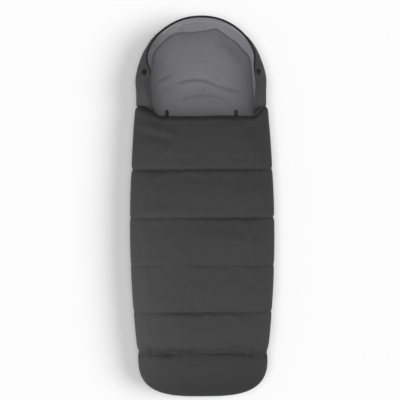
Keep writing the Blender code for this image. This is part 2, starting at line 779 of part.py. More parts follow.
def make_slider(side, word, collection, cutters):
    """Slider and pull of one zip, each under the empty it turns on."""
    frame = slider_frame(side)
    arc = empty_at(f"zip_travel_axis_{word}", (side * ARC_X, ARC_Y, Z_ZIP), collection)
    pivot_at = frame @ Vector((PIVOT_OUT, 0, 0))
    pin = empty_at(f"pull_axis_{word}", pivot_at, collection, arc)

    slider = outline_object(f"zip_slider_{word}", [slider_outline()], SLIDER_LENGTH,
                            "zip_metal", collection)
    slider.rotation_euler = (math.pi / 2, 0, 0)
    bpy.context.view_layer.update()
    slider = mesh_of(slider)
    slider.data.transform(slider.matrix_world)
    set_on_pivot(slider, frame, arc)

    bar = bpy.data.objects.new(f"pull_bar_{word}", bpy.data.meshes.new(f"pull_bar_{word}"))
    bm = bmesh.new()
    bmesh.ops.create_cone(bm, cap_ends=True, segments=EYE_STEPS, radius1=PIVOT_RADIUS,
                          radius2=PIVOT_RADIUS, depth=SLIDER_HEIGHT - LIP_THICKNESS)
    bmesh.ops.translate(bm, vec=Vector((PIVOT_OUT, 0, 0)), verts=bm.verts)
    bm.to_mesh(bar.data)
    bm.free()
    cutters.objects.link(bar)
    set_on_pivot(bar, frame, arc)
    hide_cutter(bar)
    join = slider.modifiers.new("bar", "BOOLEAN")
    join.operation = "UNION"
    join.object = bar

    start = math.asin(PULL_THICKNESS / 2 / EYE_RADIUS)
    angles = evenly(-math.pi / 2 + start, 3 * math.pi / 2 - start, EYE_STEPS)
    eye = [(EYE_RADIUS * math.cos(a), EYE_RADIUS * math.sin(a)) for a in angles]
    strip = [(-PULL_THICKNESS / 2, -PULL_LENGTH), (PULL_THICKNESS / 2, -PULL_LENGTH)]
    hole = [(EYE_BORE * math.cos(a), EYE_BORE * math.sin(a))
            for a in evenly(0, 2 * math.pi, EYE_STEPS)[:-1]]
    pull = outline_object(f"zip_pull_{word}", [eye + strip, hole], PULL_HEIGHT, "zip_metal",
                          collection)
    if side < 0:
        # Seen in the slider's own frame the left zip runs the other way
        pull.rotation_euler = (math.pi, 0, 0)
        bpy.context.view_layer.update()
    pull = mesh_of(pull)
    pull.data.transform(pull.matrix_world)
    set_on_pivot(pull, frame @ Matrix.Translation(Vector((PIVOT_OUT, 0, 0))), pin)


def hide_cutter(obj):
    obj.hide_render = True
    obj.display_type = "WIRE"


def cut(obj, cutter):
    modifier = obj.modifiers.new("cut", "BOOLEAN")
    modifier.operation = "DIFFERENCE"
    modifier.solver = "EXACT"
    modifier.operand_type = "COLLECTION"
    modifier.collection = cutter


# Drawcord in the hood's hem, coming out of an eyelet at each side
def eyelet_frame(shell_net, side):
    """Middle and frame of the shell's facet that carries an eyelet: z out of it, y up the hem."""
    middle = NECK_ROW_COUNT + 1
    pair = (middle, middle + 1) if side > 0 else (-middle - 1, -middle - 2)
    near, far = shell_net[pair[0]], shell_net[pair[1]]
    corners = [Vector(p) for p in (near[-1], near[-2], far[-2], far[-1])]
    centre = sum(corners, Vector()) / len(corners)
    across = (corners[0] + corners[3] - corners[1] - corners[2]).normalized()
    along = (corners[2] + corners[3] - corners[0] - corners[1]).normalized()
    out = along.cross(across) * side
    out.normalize()
    along = across.cross(out) * side
    along.normalize()
    axes = Matrix((across, along, out)).transposed()
    if axes.determinant() < 0:
        axes = Matrix((-across, along, out)).transposed()
    return Matrix.Translation(centre) @ axes.to_4x4()


def make_eyelet(word, frame, collection, holes):
    """A flanged eyelet turned from its section, and the hole in the shell that it sits in."""
    barrel = EYELET_BORE + EYELET_WALL
    depth = -(SKIN + GAP)
    top = EYELET_LIFT + EYELET_THICKNESS
    section = [(EYELET_BORE, top), (EYELET_FLANGE, top), (EYELET_FLANGE, EYELET_LIFT), (barrel, EYELET_LIFT),
               (barrel, depth), (EYELET_BORE, depth)]
    mesh = bpy.data.meshes.new(f"eyelet_{word}")
    count = len(section)
    mesh.from_pydata([(x, 0, z) for x, z in section], [(i, (i + 1) % count) for i in range(count)], [])
    eyelet = place(f"eyelet_{word}", mesh, "trim", collection)
    eyelet.matrix_world = frame
    screw = eyelet.modifiers.new("turn", "SCREW")
    screw.steps = EYELET_STEPS
    screw.render_steps = EYELET_STEPS
    screw.use_merge_vertices = True
    screw.merge_threshold = WELD
    screw.use_smooth_shade = True

    cutter = bpy.data.objects.new(f"eyelet_hole_{word}", bpy.data.meshes.new(f"eyelet_hole_{word}"))
    bm = bmesh.new()
    bmesh.ops.create_cone(bm, cap_ends=True, segments=EYELET_STEPS, radius1=barrel + GAP,
                          radius2=barrel + GAP, depth=2 * OVERRUN)
    bm.to_mesh(cutter.data)
    bm.free()
    cutter.matrix_world = frame
    holes.objects.link(cutter)
    hide_cutter(cutter)


def make_drawcord(channel, frames, collection):
    """Cord along the hem's channel, up through each eyelet and down to a knot."""
    start = NECK_ROW_COUNT + 2
    inside = channel[start:-start]
    ends = []
    for side, hem_end in ((1, inside[0]), (-1, inside[-1])):
        frame = frames[side]
        below = frame @ Vector((0, 0, -(STACK + HOOD_PAD) / 2))
        above = frame @ Vector((0, 0, KNOT_RADIUS))
        down = Vector((0, -1, 0))
        tail = above + down * CORD_TAIL + Vector((0, 0, KNOT_RADIUS - CORD_RADIUS))
        knot = [tail, tail + down * KNOT_RADIUS, tail + down * 2 * KNOT_RADIUS,
                tail + down * (2 * KNOT_RADIUS + CORD_RADIUS)]
        ends.append([below, above] + knot)
    points = ends[0][::-1] + inside + ends[1]
    cord = tube("hood_drawcord", points, CORD_RADIUS, "cord", collection)
    swollen = KNOT_RADIUS / CORD_RADIUS
    for index in (1, 2, -2, -3):
        cord.data.splines[0].points[index].radius = swollen
    return cord


# Harness slots: a bound hole through all three layers of the back
def slot_places():
    """Name, middle, width and height in plan of each harness slot."""
    shoulder_y = Y_FLAP + SHOULDER_SLOT_TOP - SHOULDER_SLOT_LENGTH / 2
    hip_y = Y_FLAP - HIP_SLOT_DROP
    crotch_y = Y_FLAP - CROTCH_SLOT_DROP
    places = []
    for side, word in ((-1, "left"), (1, "right")):
        x = side_half(shoulder_y) - ZIP_RECESS - CORNER_WIDTH - SLOT_FROM_EDGE
        places.append((f"shoulder_slot_{word}", side * x, shoulder_y, SLOT_WIDTH, SHOULDER_SLOT_LENGTH))
        x = side_half(hip_y) - ZIP_RECESS - CORNER_WIDTH - HIP_SLOT_FROM_EDGE
        places.append((f"hip_slot_{word}", side * x, hip_y, SLOT_WIDTH, HIP_SLOT_LENGTH))
    places.append(("crotch_slot", 0, crotch_y, CROTCH_SLOT_LENGTH, SLOT_WIDTH))
    return places


def make_slots(collection, holes):
    top = STACK + FLOOR_PAD + SLOT_LIP
    for name, x, y, wide, long in slot_places():
        half_x = (wide + SLOT_WALL) / 2
        half_y = (long + SLOT_WALL) / 2
        corners = [(x - half_x, y - half_y), (x + half_x, y - half_y),
                   (x + half_x, y + half_y), (x - half_x, y + half_y)]
        middle = (top + GAP) / 2
        ribbon(name, [(a, b, middle) for a, b in corners], top - GAP, SLOT_WALL, "trim",
               collection, cyclic=True)
        margin = 2 * (SLOT_WALL + GAP)
        cutter = block(f"{name}_hole", (x, y, top / 2),
                       (wide + margin, long + margin, top + 2 * OVERRUN), "trim", holes)
        hide_cutter(cutter)


def main():
    clear_scene()
    make_materials()
    parts = make_collection("stroller_footmuff")
    cutters = make_collection("cutters")
    slot_holes = bpy.data.collections.new("slot_holes")
    eyelet_holes = bpy.data.collections.new("eyelet_holes")
    cutters.children.link(slot_holes)
    cutters.children.link(eyelet_holes)

    back = make_tray(parts)
    make_slots(parts, slot_holes)
    for obj in back:
        cut(obj, slot_holes)
    make_toe(parts)
    hood, shell_net, channel = make_hood(parts)

    cover_pivot = empty_at("cover_open_axis", (0, Y_TOE, Z_HINGE), parts)
    flap_pivot = empty_at("flap_fold_axis", (0, Y_FOLD, Z_HINGE), parts)
    make_cover(parts, cover_pivot)
    make_flap(parts, flap_pivot)

    frames = {}
    for side, word in ((-1, "left"), (1, "right")):
        make_zip(side, word, parts, cover_pivot, flap_pivot)
        make_slider(side, word, parts, cutters)
        frames[side] = eyelet_frame(shell_net, side)
        make_eyelet(word, frames[side], parts, eyelet_holes)
    cut(hood[0], eyelet_holes)
    make_drawcord(channel, frames, parts)


main()
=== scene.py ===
"""A padded stroller footmuff, lying on its back and seen from above."""

from math import asin, atan2, cos, hypot, pi, radians, sin

import bmesh
import bpy
import numpy as np
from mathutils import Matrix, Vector
from mathutils.bvhtree import BVHTree
from numpy.linalg import norm


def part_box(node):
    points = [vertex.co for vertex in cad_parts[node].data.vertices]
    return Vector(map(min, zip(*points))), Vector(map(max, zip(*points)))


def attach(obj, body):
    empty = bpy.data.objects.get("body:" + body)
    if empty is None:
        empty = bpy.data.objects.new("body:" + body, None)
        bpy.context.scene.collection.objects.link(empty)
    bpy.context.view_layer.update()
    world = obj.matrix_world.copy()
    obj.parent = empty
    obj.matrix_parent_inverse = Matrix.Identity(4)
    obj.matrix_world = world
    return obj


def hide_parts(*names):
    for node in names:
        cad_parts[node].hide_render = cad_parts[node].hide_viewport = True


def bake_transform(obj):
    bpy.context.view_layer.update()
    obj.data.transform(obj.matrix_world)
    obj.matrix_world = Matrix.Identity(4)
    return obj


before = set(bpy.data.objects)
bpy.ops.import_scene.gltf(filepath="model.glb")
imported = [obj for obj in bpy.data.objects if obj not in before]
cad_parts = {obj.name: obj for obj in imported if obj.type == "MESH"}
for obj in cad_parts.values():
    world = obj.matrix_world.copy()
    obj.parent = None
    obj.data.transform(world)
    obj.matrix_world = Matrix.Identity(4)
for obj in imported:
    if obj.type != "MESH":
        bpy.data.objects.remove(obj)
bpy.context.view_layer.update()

# The part's own sizes, in metres
Y_TOE, Y_FOLD, Y_FLAP = -0.377, 0.096, 0.228
Y_CORNER, Y_HOOD, Y_ARCH = 0.257, 0.258, 0.3
FLAP_LENGTH, TOE_LENGTH, ARCH_LENGTH = Y_FLAP - Y_FOLD, 0.113, 0.19
HIP_HALF, SIDE_BOW, HIP_TO_CORNER = 0.186, 0.0185, 0.317
ARC_RADIUS = (HIP_TO_CORNER ** 2 + SIDE_BOW ** 2) / (2 * SIDE_BOW)
ARC_X, ARC_Y = HIP_HALF - ARC_RADIUS, Y_CORNER - HIP_TO_CORNER
HOOD_HALF = 0.1675
Z_TRAY, Z_EDGE, Z_SIDE, Z_SEAM, Z_ZIP = 0.045, 0.06, 0.064, 0.103, 0.0525
ZIP_RECESS, HEAD_RECESS = 0.007, 0.014
PUFF, INNER_PUFF = 0.009, 0.005
HEAD_POWER, TOE_POWER, COVER_POWER = 2.14, 3.1, 2.6


# ---- small tools
def mm(table):
    """A table written in millimetres, in metres."""
    if isinstance(table, tuple):
        return tuple(mm(entry) for entry in table)
    return round(table / 1000, 7)


def noise(x, y, wide, long, seed):
    """Smooth noise from -1 to 1 at arrays x and y, each of its cells wide by long."""
    table = np.random.RandomState(seed).rand(64, 64) * 2 - 1
    x, y = np.broadcast_arrays(np.asarray(x, float) / wide, np.asarray(y, float) / long)
    xi, yi = np.floor(x).astype(int), np.floor(y).astype(int)
    fx, fy = x - xi, y - yi
    fx, fy = fx * fx * (3 - 2 * fx), fy * fy * (3 - 2 * fy)
    a, b = table[xi % 64, yi % 64], table[(xi + 1) % 64, yi % 64]
    c, d = table[xi % 64, (yi + 1) % 64], table[(xi + 1) % 64, (yi + 1) % 64]
    return (a * (1 - fx) + b * fx) * (1 - fy) + (c * (1 - fx) + d * fx) * fy


def smooth(low, high, value):
    t = np.clip((value - low) / (high - low), 0, 1)
    return t * t * (3 - 2 * t)


def bell(away, width):
    return np.exp(-(away / width) ** 2)


def unit(vectors):
    """Vectors brought to length 1."""
    return vectors / norm(vectors, axis=-1, keepdims=True)


def strip(*lines):
    """A net whose columns are lines of points."""
    return np.array(lines).transpose(1, 0, 2)


def distance(x, y, x0, y0, x1, y1):
    """How far points x, y are from a line between two places."""
    dx, dy = x1 - x0, y1 - y0
    t = np.clip(((x - x0) * dx + (y - y0) * dy) / (dx * dx + dy * dy), 0, 1)
    return np.hypot(x - x0 - t * dx, y - y0 - t * dy)


def folds_at(x, y, folds):
    """Height of soft folds, each a rounded ridge along a line: x0, y0, x1, y1, width, height."""
    return sum(height * bell(distance(x, y, *line), width) for *line, width, height in folds)


def evened(line, count):
    line = np.asarray(line, float)
    run = np.concatenate(([0], np.cumsum(norm(np.diff(line, axis=0), axis=1))))
    at = np.linspace(0, run[-1], count)
    return np.stack([np.interp(at, run, line[:, k]) for k in range(line.shape[1])], 1)


def through(points, count):
    """A smooth curve of count points through the given ones, evenly spaced along it."""
    p = np.array(points, float)
    ends = np.vstack((2 * p[0] - p[1], p, 2 * p[-1] - p[-2]))
    found = []
    for a, b, c, d in zip(ends, ends[1:], ends[2:], ends[3:]):
        for t in np.linspace(0, 1, 12, endpoint=False):
            found.append(0.5 * (2 * b + (c - a) * t + (2 * a - 5 * b + 4 * c - d) * t ** 2
                                + (3 * b - a - 3 * c + d) * t ** 3))
    found.append(p[-1])
    return evened(np.array(found), count)


def side_half(y):
    """Half of the bag's width at y, bowed as its zips are."""
    return ARC_X + np.sqrt(ARC_RADIUS ** 2 - (np.minimum(y, Y_CORNER) - ARC_Y) ** 2)


def super_radius(angle, across, along, power):
    x = np.abs(np.cos(angle)) / across
    y = np.abs(np.sin(angle)) / along
    return (x ** power + y ** power) ** (-1 / power)


def added(name, data):
    obj = bpy.data.objects.new(name, data)
    bpy.context.scene.collection.objects.link(obj)
    return obj


def mesh_object(name, points, faces):
    mesh = bpy.data.meshes.new(name)
    mesh.from_pydata(points, [], faces)
    mesh.shade_smooth()
    return added(name, mesh)


def grid_quads(net, flip=False):
    ids = np.arange(net.shape[0] * net.shape[1]).reshape(net.shape[:2])
    quads = np.stack((ids[:-1, :-1], ids[1:, :-1], ids[1:, 1:], ids[:-1, 1:]), -1).reshape(-1, 4)
    return (quads[:, ::-1] if flip else quads).tolist()


def surface(name, net, flip=False):
    """A mesh over a net of points [row][column], with its lengths in metres as the map 'weave'."""
    net = np.asarray(net, float)
    obj = mesh_object(name, net.reshape(-1, 3).tolist(), grid_quads(net, flip))
    across, along = np.zeros(net.shape[:2]), np.zeros(net.shape[:2])
    across[:, 1:] = np.cumsum(norm(np.diff(net, axis=1), axis=2), axis=1)
    across -= across[:, net.shape[1] // 2][:, None]
    along[1:] = np.cumsum(norm(np.diff(net, axis=0), axis=2), axis=0)
    along[:] = np.median(along, axis=1)[:, None]
    corners = np.empty(len(obj.data.loops), int)
    obj.data.loops.foreach_get("vertex_index", corners)
    places = np.stack((across.ravel()[corners], along.ravel()[corners]), 1)
    obj.data.uv_layers.new(name="weave").data.foreach_set("uv", places.ravel())
    return obj


WELD = 1e-5


def joined(name, parts, materials):
    """One mesh from several, each with its own material, welded where they meet."""
    bm = bmesh.new()
    for index, part in enumerate(parts):
        start = len(bm.faces)
        bm.from_mesh(part.data)
        bm.faces.ensure_lookup_table()
        for face in bm.faces[start:]:
            face.material_index = min(index, len(materials) - 1)
        bpy.data.objects.remove(part)
    bmesh.ops.remove_doubles(bm, verts=bm.verts, dist=WELD)
    bmesh.ops.dissolve_degenerate(bm, edges=bm.edges, dist=WELD / 10)
    bmesh.ops.recalc_face_normals(bm, faces=bm.faces)
    mesh = bpy.data.meshes.new(name)
    bm.to_mesh(mesh)
    bm.free()
    mesh.shade_smooth()
    for material in materials:
        mesh.materials.append(material)
    return added(name, mesh)


def subdivide(obj):
    fine = obj.modifiers.new("fine", "SUBSURF")
    fine.levels = fine.render_levels = 1


def paint(obj, material):
    obj.data.materials.clear()
    obj.data.materials.append(material)
    return obj


# The cloth's pressure, longest move, slack and steps when it swells
SWELL_PRESSURE, SWELL_CAP, SWELL_SLACK, SWELL_FRAMES = 2.0, 0.0022, 0.006, 20


def swollen(net, held):
    """The net after its cloth has swelled between its held points."""
    obj = surface("swelling", net)
    group = obj.vertex_groups.new(name="held")
    for weight in np.unique(held[held > 0]):
        group.add(np.flatnonzero(held.ravel() == weight).tolist(), float(weight), "REPLACE")
    cloth = obj.modifiers.new("cloth", "CLOTH")
    setup = cloth.settings
    setup.quality = 6
    setup.mass = 0.3
    setup.tension_stiffness = setup.compression_stiffness = 15
    setup.shear_stiffness = 5
    setup.bending_stiffness = 3.0
    setup.vertex_group_mass = "held"
    setup.shrink_min = -SWELL_SLACK
    setup.use_pressure = True
    setup.uniform_pressure_force = SWELL_PRESSURE
    setup.effector_weights.gravity = 0
    cloth.collision_settings.use_collision = False
    cloth.point_cache.frame_start, cloth.point_cache.frame_end = 1, SWELL_FRAMES
    for number in range(1, SWELL_FRAMES + 1):
        bpy.context.scene.frame_set(number)
    graph = bpy.context.evaluated_depsgraph_get()
    done = obj.evaluated_get(graph).to_mesh()
    moved = np.empty(len(done.vertices) * 3)
    done.vertices.foreach_get("co", moved)
    bpy.context.scene.frame_set(1)
    bpy.data.objects.remove(obj)
    step = moved.reshape(net.shape) - net
    length = norm(step, axis=-1, keepdims=True)
    return net + step * SWELL_CAP * np.tanh(length / SWELL_CAP) / np.maximum(length, 1e-9)


def sweep(name, path, wide, high, count, up=(0, 0, 1), size=1.0):
    """A round tube along a path, half its width and height given, its size set along the way."""
    size = np.broadcast_to(size, len(path))[:, None]
    ahead = unit(np.gradient(path, axis=0))
    side = unit(np.cross(ahead, np.broadcast_to(up, path.shape)))
    lift = np.cross(side, ahead)
    return surface(name, strip(*(path + (side * (wide * cos(t)) + lift * (high * sin(t))) * size
                                 for t in np.linspace(0, 2 * pi, count + 1))))


STITCH_PITCH, STITCH_LENGTH, THREAD_RADIUS, STITCH_SAG = 0.0036, 0.0026, 0.00032, 0.0005
SIDES = 6
# Rings of one stitch: place along it and thickness
RINGS = ((-0.5, 0.15), (-0.42, 0.8), (0, 1.0), (0.42, 0.8), (0.5, 0.15))


def stitches(name, lines):
    """Thread along lines of points: one short rounded stitch after another."""
    shape = np.array([(along * STITCH_LENGTH, cos(t) * THREAD_RADIUS * size,
                       sin(t) * THREAD_RADIUS * size - STITCH_SAG * (2 * along) ** 2)
                      for along, size in RINGS for t in 2 * pi * np.arange(SIDES) / SIDES])
    last = len(shape) - SIDES
    quads = [(ring + k, ring + (k + 1) % SIDES, ring + SIDES + (k + 1) % SIDES, ring + SIDES + k)
             for ring in range(0, last, SIDES) for k in range(SIDES)]
    quads += [range(SIDES)[::-1], range(last, last + SIDES)]
    verts, faces = [], []
    for line in lines:
        total = norm(np.diff(line, axis=0), axis=1).sum()
        dense = evened(line, 2 * max(2, int(total / STITCH_PITCH)) + 1)
        for a, middle, b in zip(dense[:-2:2], dense[1::2], dense[2::2]):
            ahead = unit(b - a)
            side = unit(np.cross(ahead, (0, 0, 1)))
            faces += [tuple(len(verts) + k for k in quad) for quad in quads]
            verts += (middle + shape @ (ahead, side, np.cross(side, ahead))).tolist()
    return mesh_object(name, verts, faces)


# ---- materials
class Nodes:
    """A short way to write a material's node tree."""

    def __init__(self, name):
        self.material = bpy.data.materials.new(name)
        self.material.use_nodes = True
        self.tree = self.material.node_tree
        self.shader = self.tree.nodes["Principled BSDF"]

    def add(self, kind, inputs=None, **settings):
        node = self.tree.nodes.new("ShaderNode" + kind)
        for key, value in settings.items():
            setattr(node, key, value)
        for key, value in (inputs or {}).items():
            if isinstance(value, bpy.types.NodeSocket):
                self.tree.links.new(value, node.inputs[key])
            else:
                node.inputs[key].default_value = value
        return node

    def math(self, operation, a, b=0.0, c=0.0):
        return self.add("Math", {0: a, 1: b, 2: c}, operation=operation).outputs[0]

    def noise(self, vector, scale, detail=2.0, rough=0.5):
        sockets = {"Vector": vector, "Scale": scale, "Detail": detail, "Roughness": rough}
        return self.add("TexNoise", sockets).outputs["Fac"]

    def wave(self, coordinate, pitch):
        """A sine of one coordinate in metres, from 0 to 1."""
        turned = self.math("MULTIPLY", coordinate, 2 * pi / pitch)
        return self.math("MULTIPLY_ADD", self.math("SINE", turned), 0.5, 0.5)

    def range(self, *sockets):
        """A value brought from one range to another: value, from low, high, to low, high."""
        return self.add("MapRange", dict(enumerate(sockets))).outputs[0]

    def place(self):
        return self.add("TexCoord").outputs["Object"]

    def split(self, vector):
        return self.add("SeparateXYZ", {0: vector}).outputs

    def feed(self, socket, value):
        self.tree.links.new(value, self.shader.inputs[socket])

    def colour(self, base, factor):
        """The base colour made lighter or darker by a factor socket."""
        mixed = self.add("VectorMath", {0: base, "Scale": factor}, operation="SCALE")
        self.feed("Base Color", mixed.outputs[0])

    def relief(self, height, distance, strength):
        sockets = {"Height": height, "Distance": distance, "Strength": strength}
        self.feed("Normal", self.add("Bump", sockets).outputs[0])

    def finished(self, sockets):
        """The material, with the shader's own sockets set."""
        for key, value in sockets.items():
            self.shader.inputs[key].default_value = value
        return self.material


# Painted shade along the toe seam: how far it wanders, where it starts and where it ends
SEAM_SHADE_SWAY, SEAM_SHADE_NEAR, SEAM_SHADE_FAR = 0.012, 0.002, 0.014


def woven(name, base, pitch, twill=0.0, roughness=0.82, sheen=0.12, seam_shade=0.0):
    """Woven cloth: warp and weft at a pitch, uneven yarn, a little pilling, and painted shade along
    the toe seam.
    """
    n = Nodes(name)
    place = n.place()
    # Only twill follows the cloth's own lengths
    u, v = n.split(n.add("UVMap", uv_map="weave").outputs[0] if twill else place)[:2]
    if twill:
        u = n.math("MULTIPLY_ADD", v, twill, u)
    cross = n.math("ABSOLUTE", n.math("SUBTRACT", n.wave(u, pitch), n.wave(v, pitch)))
    yarn = n.noise(place, 900.0)
    n.relief(n.math("MULTIPLY_ADD", cross, 0.7, yarn), 0.00012, 0.6)
    wide = n.noise(place, 9.0, 3.0)
    fine = n.noise(place, 700.0, 1.0)
    tone = n.math("MULTIPLY", n.range(wide, 0.3, 0.7, 0.95, 1.05),
                  n.range(fine, 0.25, 0.75, 0.9, 1.1))
    tone = n.math("MULTIPLY", tone, n.range(cross, 0, 1, 0.9, 1.06))
    # Painted shade: the colour is darkened in a wavering band along the toe seam, where the cloth
    # is gathered
    if seam_shade:
        y = n.split(place)[1]
        sway = n.math("MULTIPLY_ADD", n.noise(place, 22.0), -SEAM_SHADE_SWAY, SEAM_SHADE_SWAY / 2 - Y_TOE)
        away = n.math("ABSOLUTE", n.math("ADD", y, sway))
        folds = n.range(away, SEAM_SHADE_NEAR, SEAM_SHADE_FAR, 1 - seam_shade, 1.0)
        tone = n.math("MULTIPLY", tone, folds)
    n.colour(base, tone)
    n.feed("Roughness", n.range(wide, 0.3, 0.7, roughness - 0.04, roughness + 0.04))
    return n.finished({"Sheen Weight": sheen, "Sheen Roughness": 0.4, "Specular IOR Level": 0.25})


# Where the painted shade at the fleece's left side ends, across the bag
LEFT_SHADE_FROM, LEFT_SHADE_TO = -0.125, -0.045


def fleece(name, base, sheen=0.35, left_shade=1.0):
    """Brushed fleece with a short tangled nap, and painted shade that darkens it towards the left.
    """
    n = Nodes(name)
    place = n.place()
    nap = n.noise(place, 420.0, 4.0, 0.65)
    tuft = n.noise(place, 120.0, 3.0)
    wide = n.noise(place, 14.0, 3.0)
    n.relief(n.math("MULTIPLY_ADD", nap, 0.6, tuft), 0.0006, 0.5)
    tone = n.math("MULTIPLY", n.range(wide, 0.3, 0.7, 0.96, 1.04),
                  n.range(nap, 0.3, 0.7, 0.88, 1.1))
    # Painted shade: the colour is scaled down towards the left, by left_shade at the far left
    painted_left_shade = n.range(n.split(place)[0], LEFT_SHADE_FROM, LEFT_SHADE_TO, left_shade, 1.0)
    n.colour(base, n.math("MULTIPLY", tone, painted_left_shade))
    return n.finished({"Roughness": 0.95, "Sheen Weight": sheen, "Sheen Roughness": 0.5,
                       "Specular IOR Level": 0.15})


def hard(name, base, roughness, metallic=0.0, coat=0.0):
    """Painted metal or moulded plastic with fine handling marks."""
    n = Nodes(name)
    place = n.place()
    grain = n.noise(place, 1500.0)
    marks = n.noise(place, 160.0, 4.0, 0.7)
    n.relief(grain, 0.00004, 0.4)
    n.colour(base, n.range(marks, 0.3, 0.7, 0.88, 1.12))
    n.feed("Roughness", n.range(marks, 0.3, 0.7, roughness - 0.06, roughness + 0.08))
    return n.finished({"Metallic": metallic, "Coat Weight": coat})


OUTER = woven("outer_cloth", (0.0452, 0.0452, 0.0457), 0.0009, 0.5, sheen=0.08, seam_shade=0.22)
LINING = fleece("lining_fleece", (0.1375, 0.1355, 0.148))
# The hood's inner walls: a lighter copy of the lining fleece as painted light, with painted shade
# at the left
BAND = fleece("hood_lining_fleece", (0.163, 0.16, 0.1745), sheen=0.5, left_shade=0.54)
TRIM = woven("binding_tape", (0.017, 0.017, 0.018), 0.0011, roughness=0.7)
BINDING = woven("hood_edge_tape", (0.018, 0.018, 0.019), 0.0011, roughness=0.7)
SLOT_EDGE = woven("slot_binding", (0.118, 0.118, 0.125), 0.0011, roughness=0.75)
CORD = woven("braided_cord", (0.013, 0.013, 0.014), 0.0012, roughness=0.75)
# The toe box's cloth: a darker copy of the outer cloth, painted shade
SHADED_TOE_CLOTH = woven("toe_cloth", (0.0375, 0.0375, 0.038), 0.0009, 0.5, sheen=0.04, seam_shade=0.14)
THREAD = woven("sewing_thread", (0.042, 0.042, 0.0425), 0.0004, roughness=0.55)
NYLON = hard("zip_nylon", (0.016, 0.016, 0.017), 0.42)
METAL = hard("painted_zinc", (0.021, 0.021, 0.022), 0.36, metallic=0.6, coat=0.4)
EYELET = hard("painted_eyelet", (0.004, 0.004, 0.0045), 0.55)


# ---- cover and flap
SEAMS = (Y_TOE, -0.27, -0.1505, -0.0285, Y_FOLD)
# How deep each seam is drawn in, from the left to the right
SEAM_XS = (-0.17, -0.12, -0.05, 0.05, 0.12, 0.17)
SEAM_DEPTHS = ((1, 1, 1, 1, 1, 1), (0.5, 0.6, 1.35, 1.25, 0.9, 0.65),
               (0.32, 0.28, 0.45, 0.55, 0.5, 0.55), (0.55, 0.5, 0.8, 1.3, 1.25, 0.95),
               (1.2, 1.25, 0.95, 1.15, 1.1, 0.8))
NEAR_SEAM = mm((0.0, 1.4, 3.4, 6.6, 11))
CHANNEL_MARGIN, CHANNEL_STEP = 0.0165, 0.0058
HALF_COLUMNS = 46
# Soft folds of the outer cloth: x0, y0, x1, y1, width, height
COVER_FOLDS = mm((
    (-166, 208, -70, 184, 8, 2.8), (-160, 190, -85, 170, 10, -2.6), (-168, 232, -110, 214, 7, -1.8),
    (168, 215, 120, 196, 10, -1.6), (-145.7, -358.5, -133, -374, 4.2, -6.5),
    (-133, -374, -95, -373.5, 4, -2), (143, -359, 126, -373.5, 5, -4),
    (-168, -352, -150, -357, 6, 2), (-120, -357, -55, -361, 5.5, 2.2), (10, -360, 75, -357, 6, 2),
    (90, -362, 125, -355, 5, 2), (-45, -352, -20, -366, 5, -1.8)))
TOE_FOLDS = mm((
    (127, -381, 142, -387, 4.5, -3.5), (-60, -383, -52, -398, 5, -1.8),
    (-130, -381, -85, -383.5, 5, 1.6), (20, -383, 100, -383.5, 5, 1.2)))
# The hollow along the toe seam
VALLEY_ABOVE, VALLEY_DEPTH, VALLEY_WIDTH = mm((7, 8, 7.8))
# Heights of the cloth's slack, puckers, gathers, grooves, rolled edge and drawn-in sides
SLACK, PUCKER, GATHER, GROOVE, ROLL_OVER, DRAWN_IN = mm((0.9, 0.8, 2.4, 2.6, 5.5, 2.2))
GROOVE_WIDTH, GATHER_REACH, PUCKER_REACH = mm((5, 16, 11))
# The pad's thickness at its edge, and what its middle has more
PAD_EDGE, PAD_MIDDLE = mm((4.5, 3))


def channel_ys(low, high):
    """Places along one channel, closer together at its seams."""
    inner = np.linspace(low + CHANNEL_MARGIN, high - CHANNEL_MARGIN,
                        int(round((high - low - 2 * CHANNEL_MARGIN) / CHANNEL_STEP)) + 1)
    return [low + s for s in NEAR_SEAM] + list(inner) + [high - s for s in NEAR_SEAM[:0:-1]]


def dome_line(half):
    """Half of the cover's section, evenly spaced from its middle to the zip: points and normals."""
    t = np.linspace(pi / 2, 0, 90)
    power = 2 / COVER_POWER
    x, z = half * np.cos(t) ** power, Z_SIDE + (Z_SEAM - Z_SIDE) * np.sin(t) ** power
    x[0] = 0
    turn = np.array([(half - 0.0005, Z_SIDE - 0.002), (half - ZIP_RECESS, Z_EDGE)])
    line = evened(np.vstack((np.stack((x, z), 1), turn)), HALF_COLUMNS)
    ahead = unit(np.gradient(line, axis=0))
    ahead[0] = (1, 0)
    out = np.stack((-ahead[:, 1], ahead[:, 0]), 1)
    out[-3:] = (1, 0)
    return line, out


def swelling(y):
    """How full the padding is at y: 0 at a seam, 1 in the middle of its channel."""
    if y <= Y_FOLD:
        low = max(seam for seam in SEAMS[:-1] if seam <= y)
        high = SEAMS[SEAMS.index(low) + 1]
        return sin(pi * np.clip((y - low) / (high - low), 0, 1)) ** 0.8
    return np.interp((y - Y_FOLD) / FLAP_LENGTH, [0, 0.04, 0.12, 0.3, 0.55, 0.8, 0.93, 1.0],
                     [0, 0.22, 0.5, 0.88, 1, 0.8, 0.5, 0.1])


def seam_depth(x, y):
    """How strongly the seam nearest to each point is drawn in, and how far away it is."""
    away = np.array([np.abs(y - seam) for seam in SEAMS])
    depths = np.array([np.interp(x, SEAM_XS, row) for row in SEAM_DEPTHS])
    nearest = np.argmin(away, axis=0)
    columns = np.arange(len(x))
    return depths[nearest, columns], away[nearest, columns]


def toe_valley(x, y):
    """The hollow in which cover and toe box are gathered, its bottom a little above their seam."""
    away = y - Y_TOE - VALLEY_ABOVE - 0.0035 * noise(x, 0, 0.03, 1, 44)
    deep = 1 + 0.35 * noise(x, 0, 0.034, 1, 41) + 0.25 * noise(x, 0, 0.012, 1, 42)
    wide = VALLEY_WIDTH * (1 + 0.35 * noise(x, 0, 0.028, 1, 43))
    return VALLEY_DEPTH * deep * bell(away, wide)


def seam_wave(x, away):
    """How far the gathered seam wanders to and fro, dying out away from it."""
    sway = 0.0036 * noise(x, 0, 0.04, 1, 45) + 0.0014 * noise(x, 0, 0.014, 1, 46)
    out = np.abs(x) / side_half(Y_TOE)
    return sway * bell(away, 0.012) * (1 - smooth(0.7, 0.95, out))


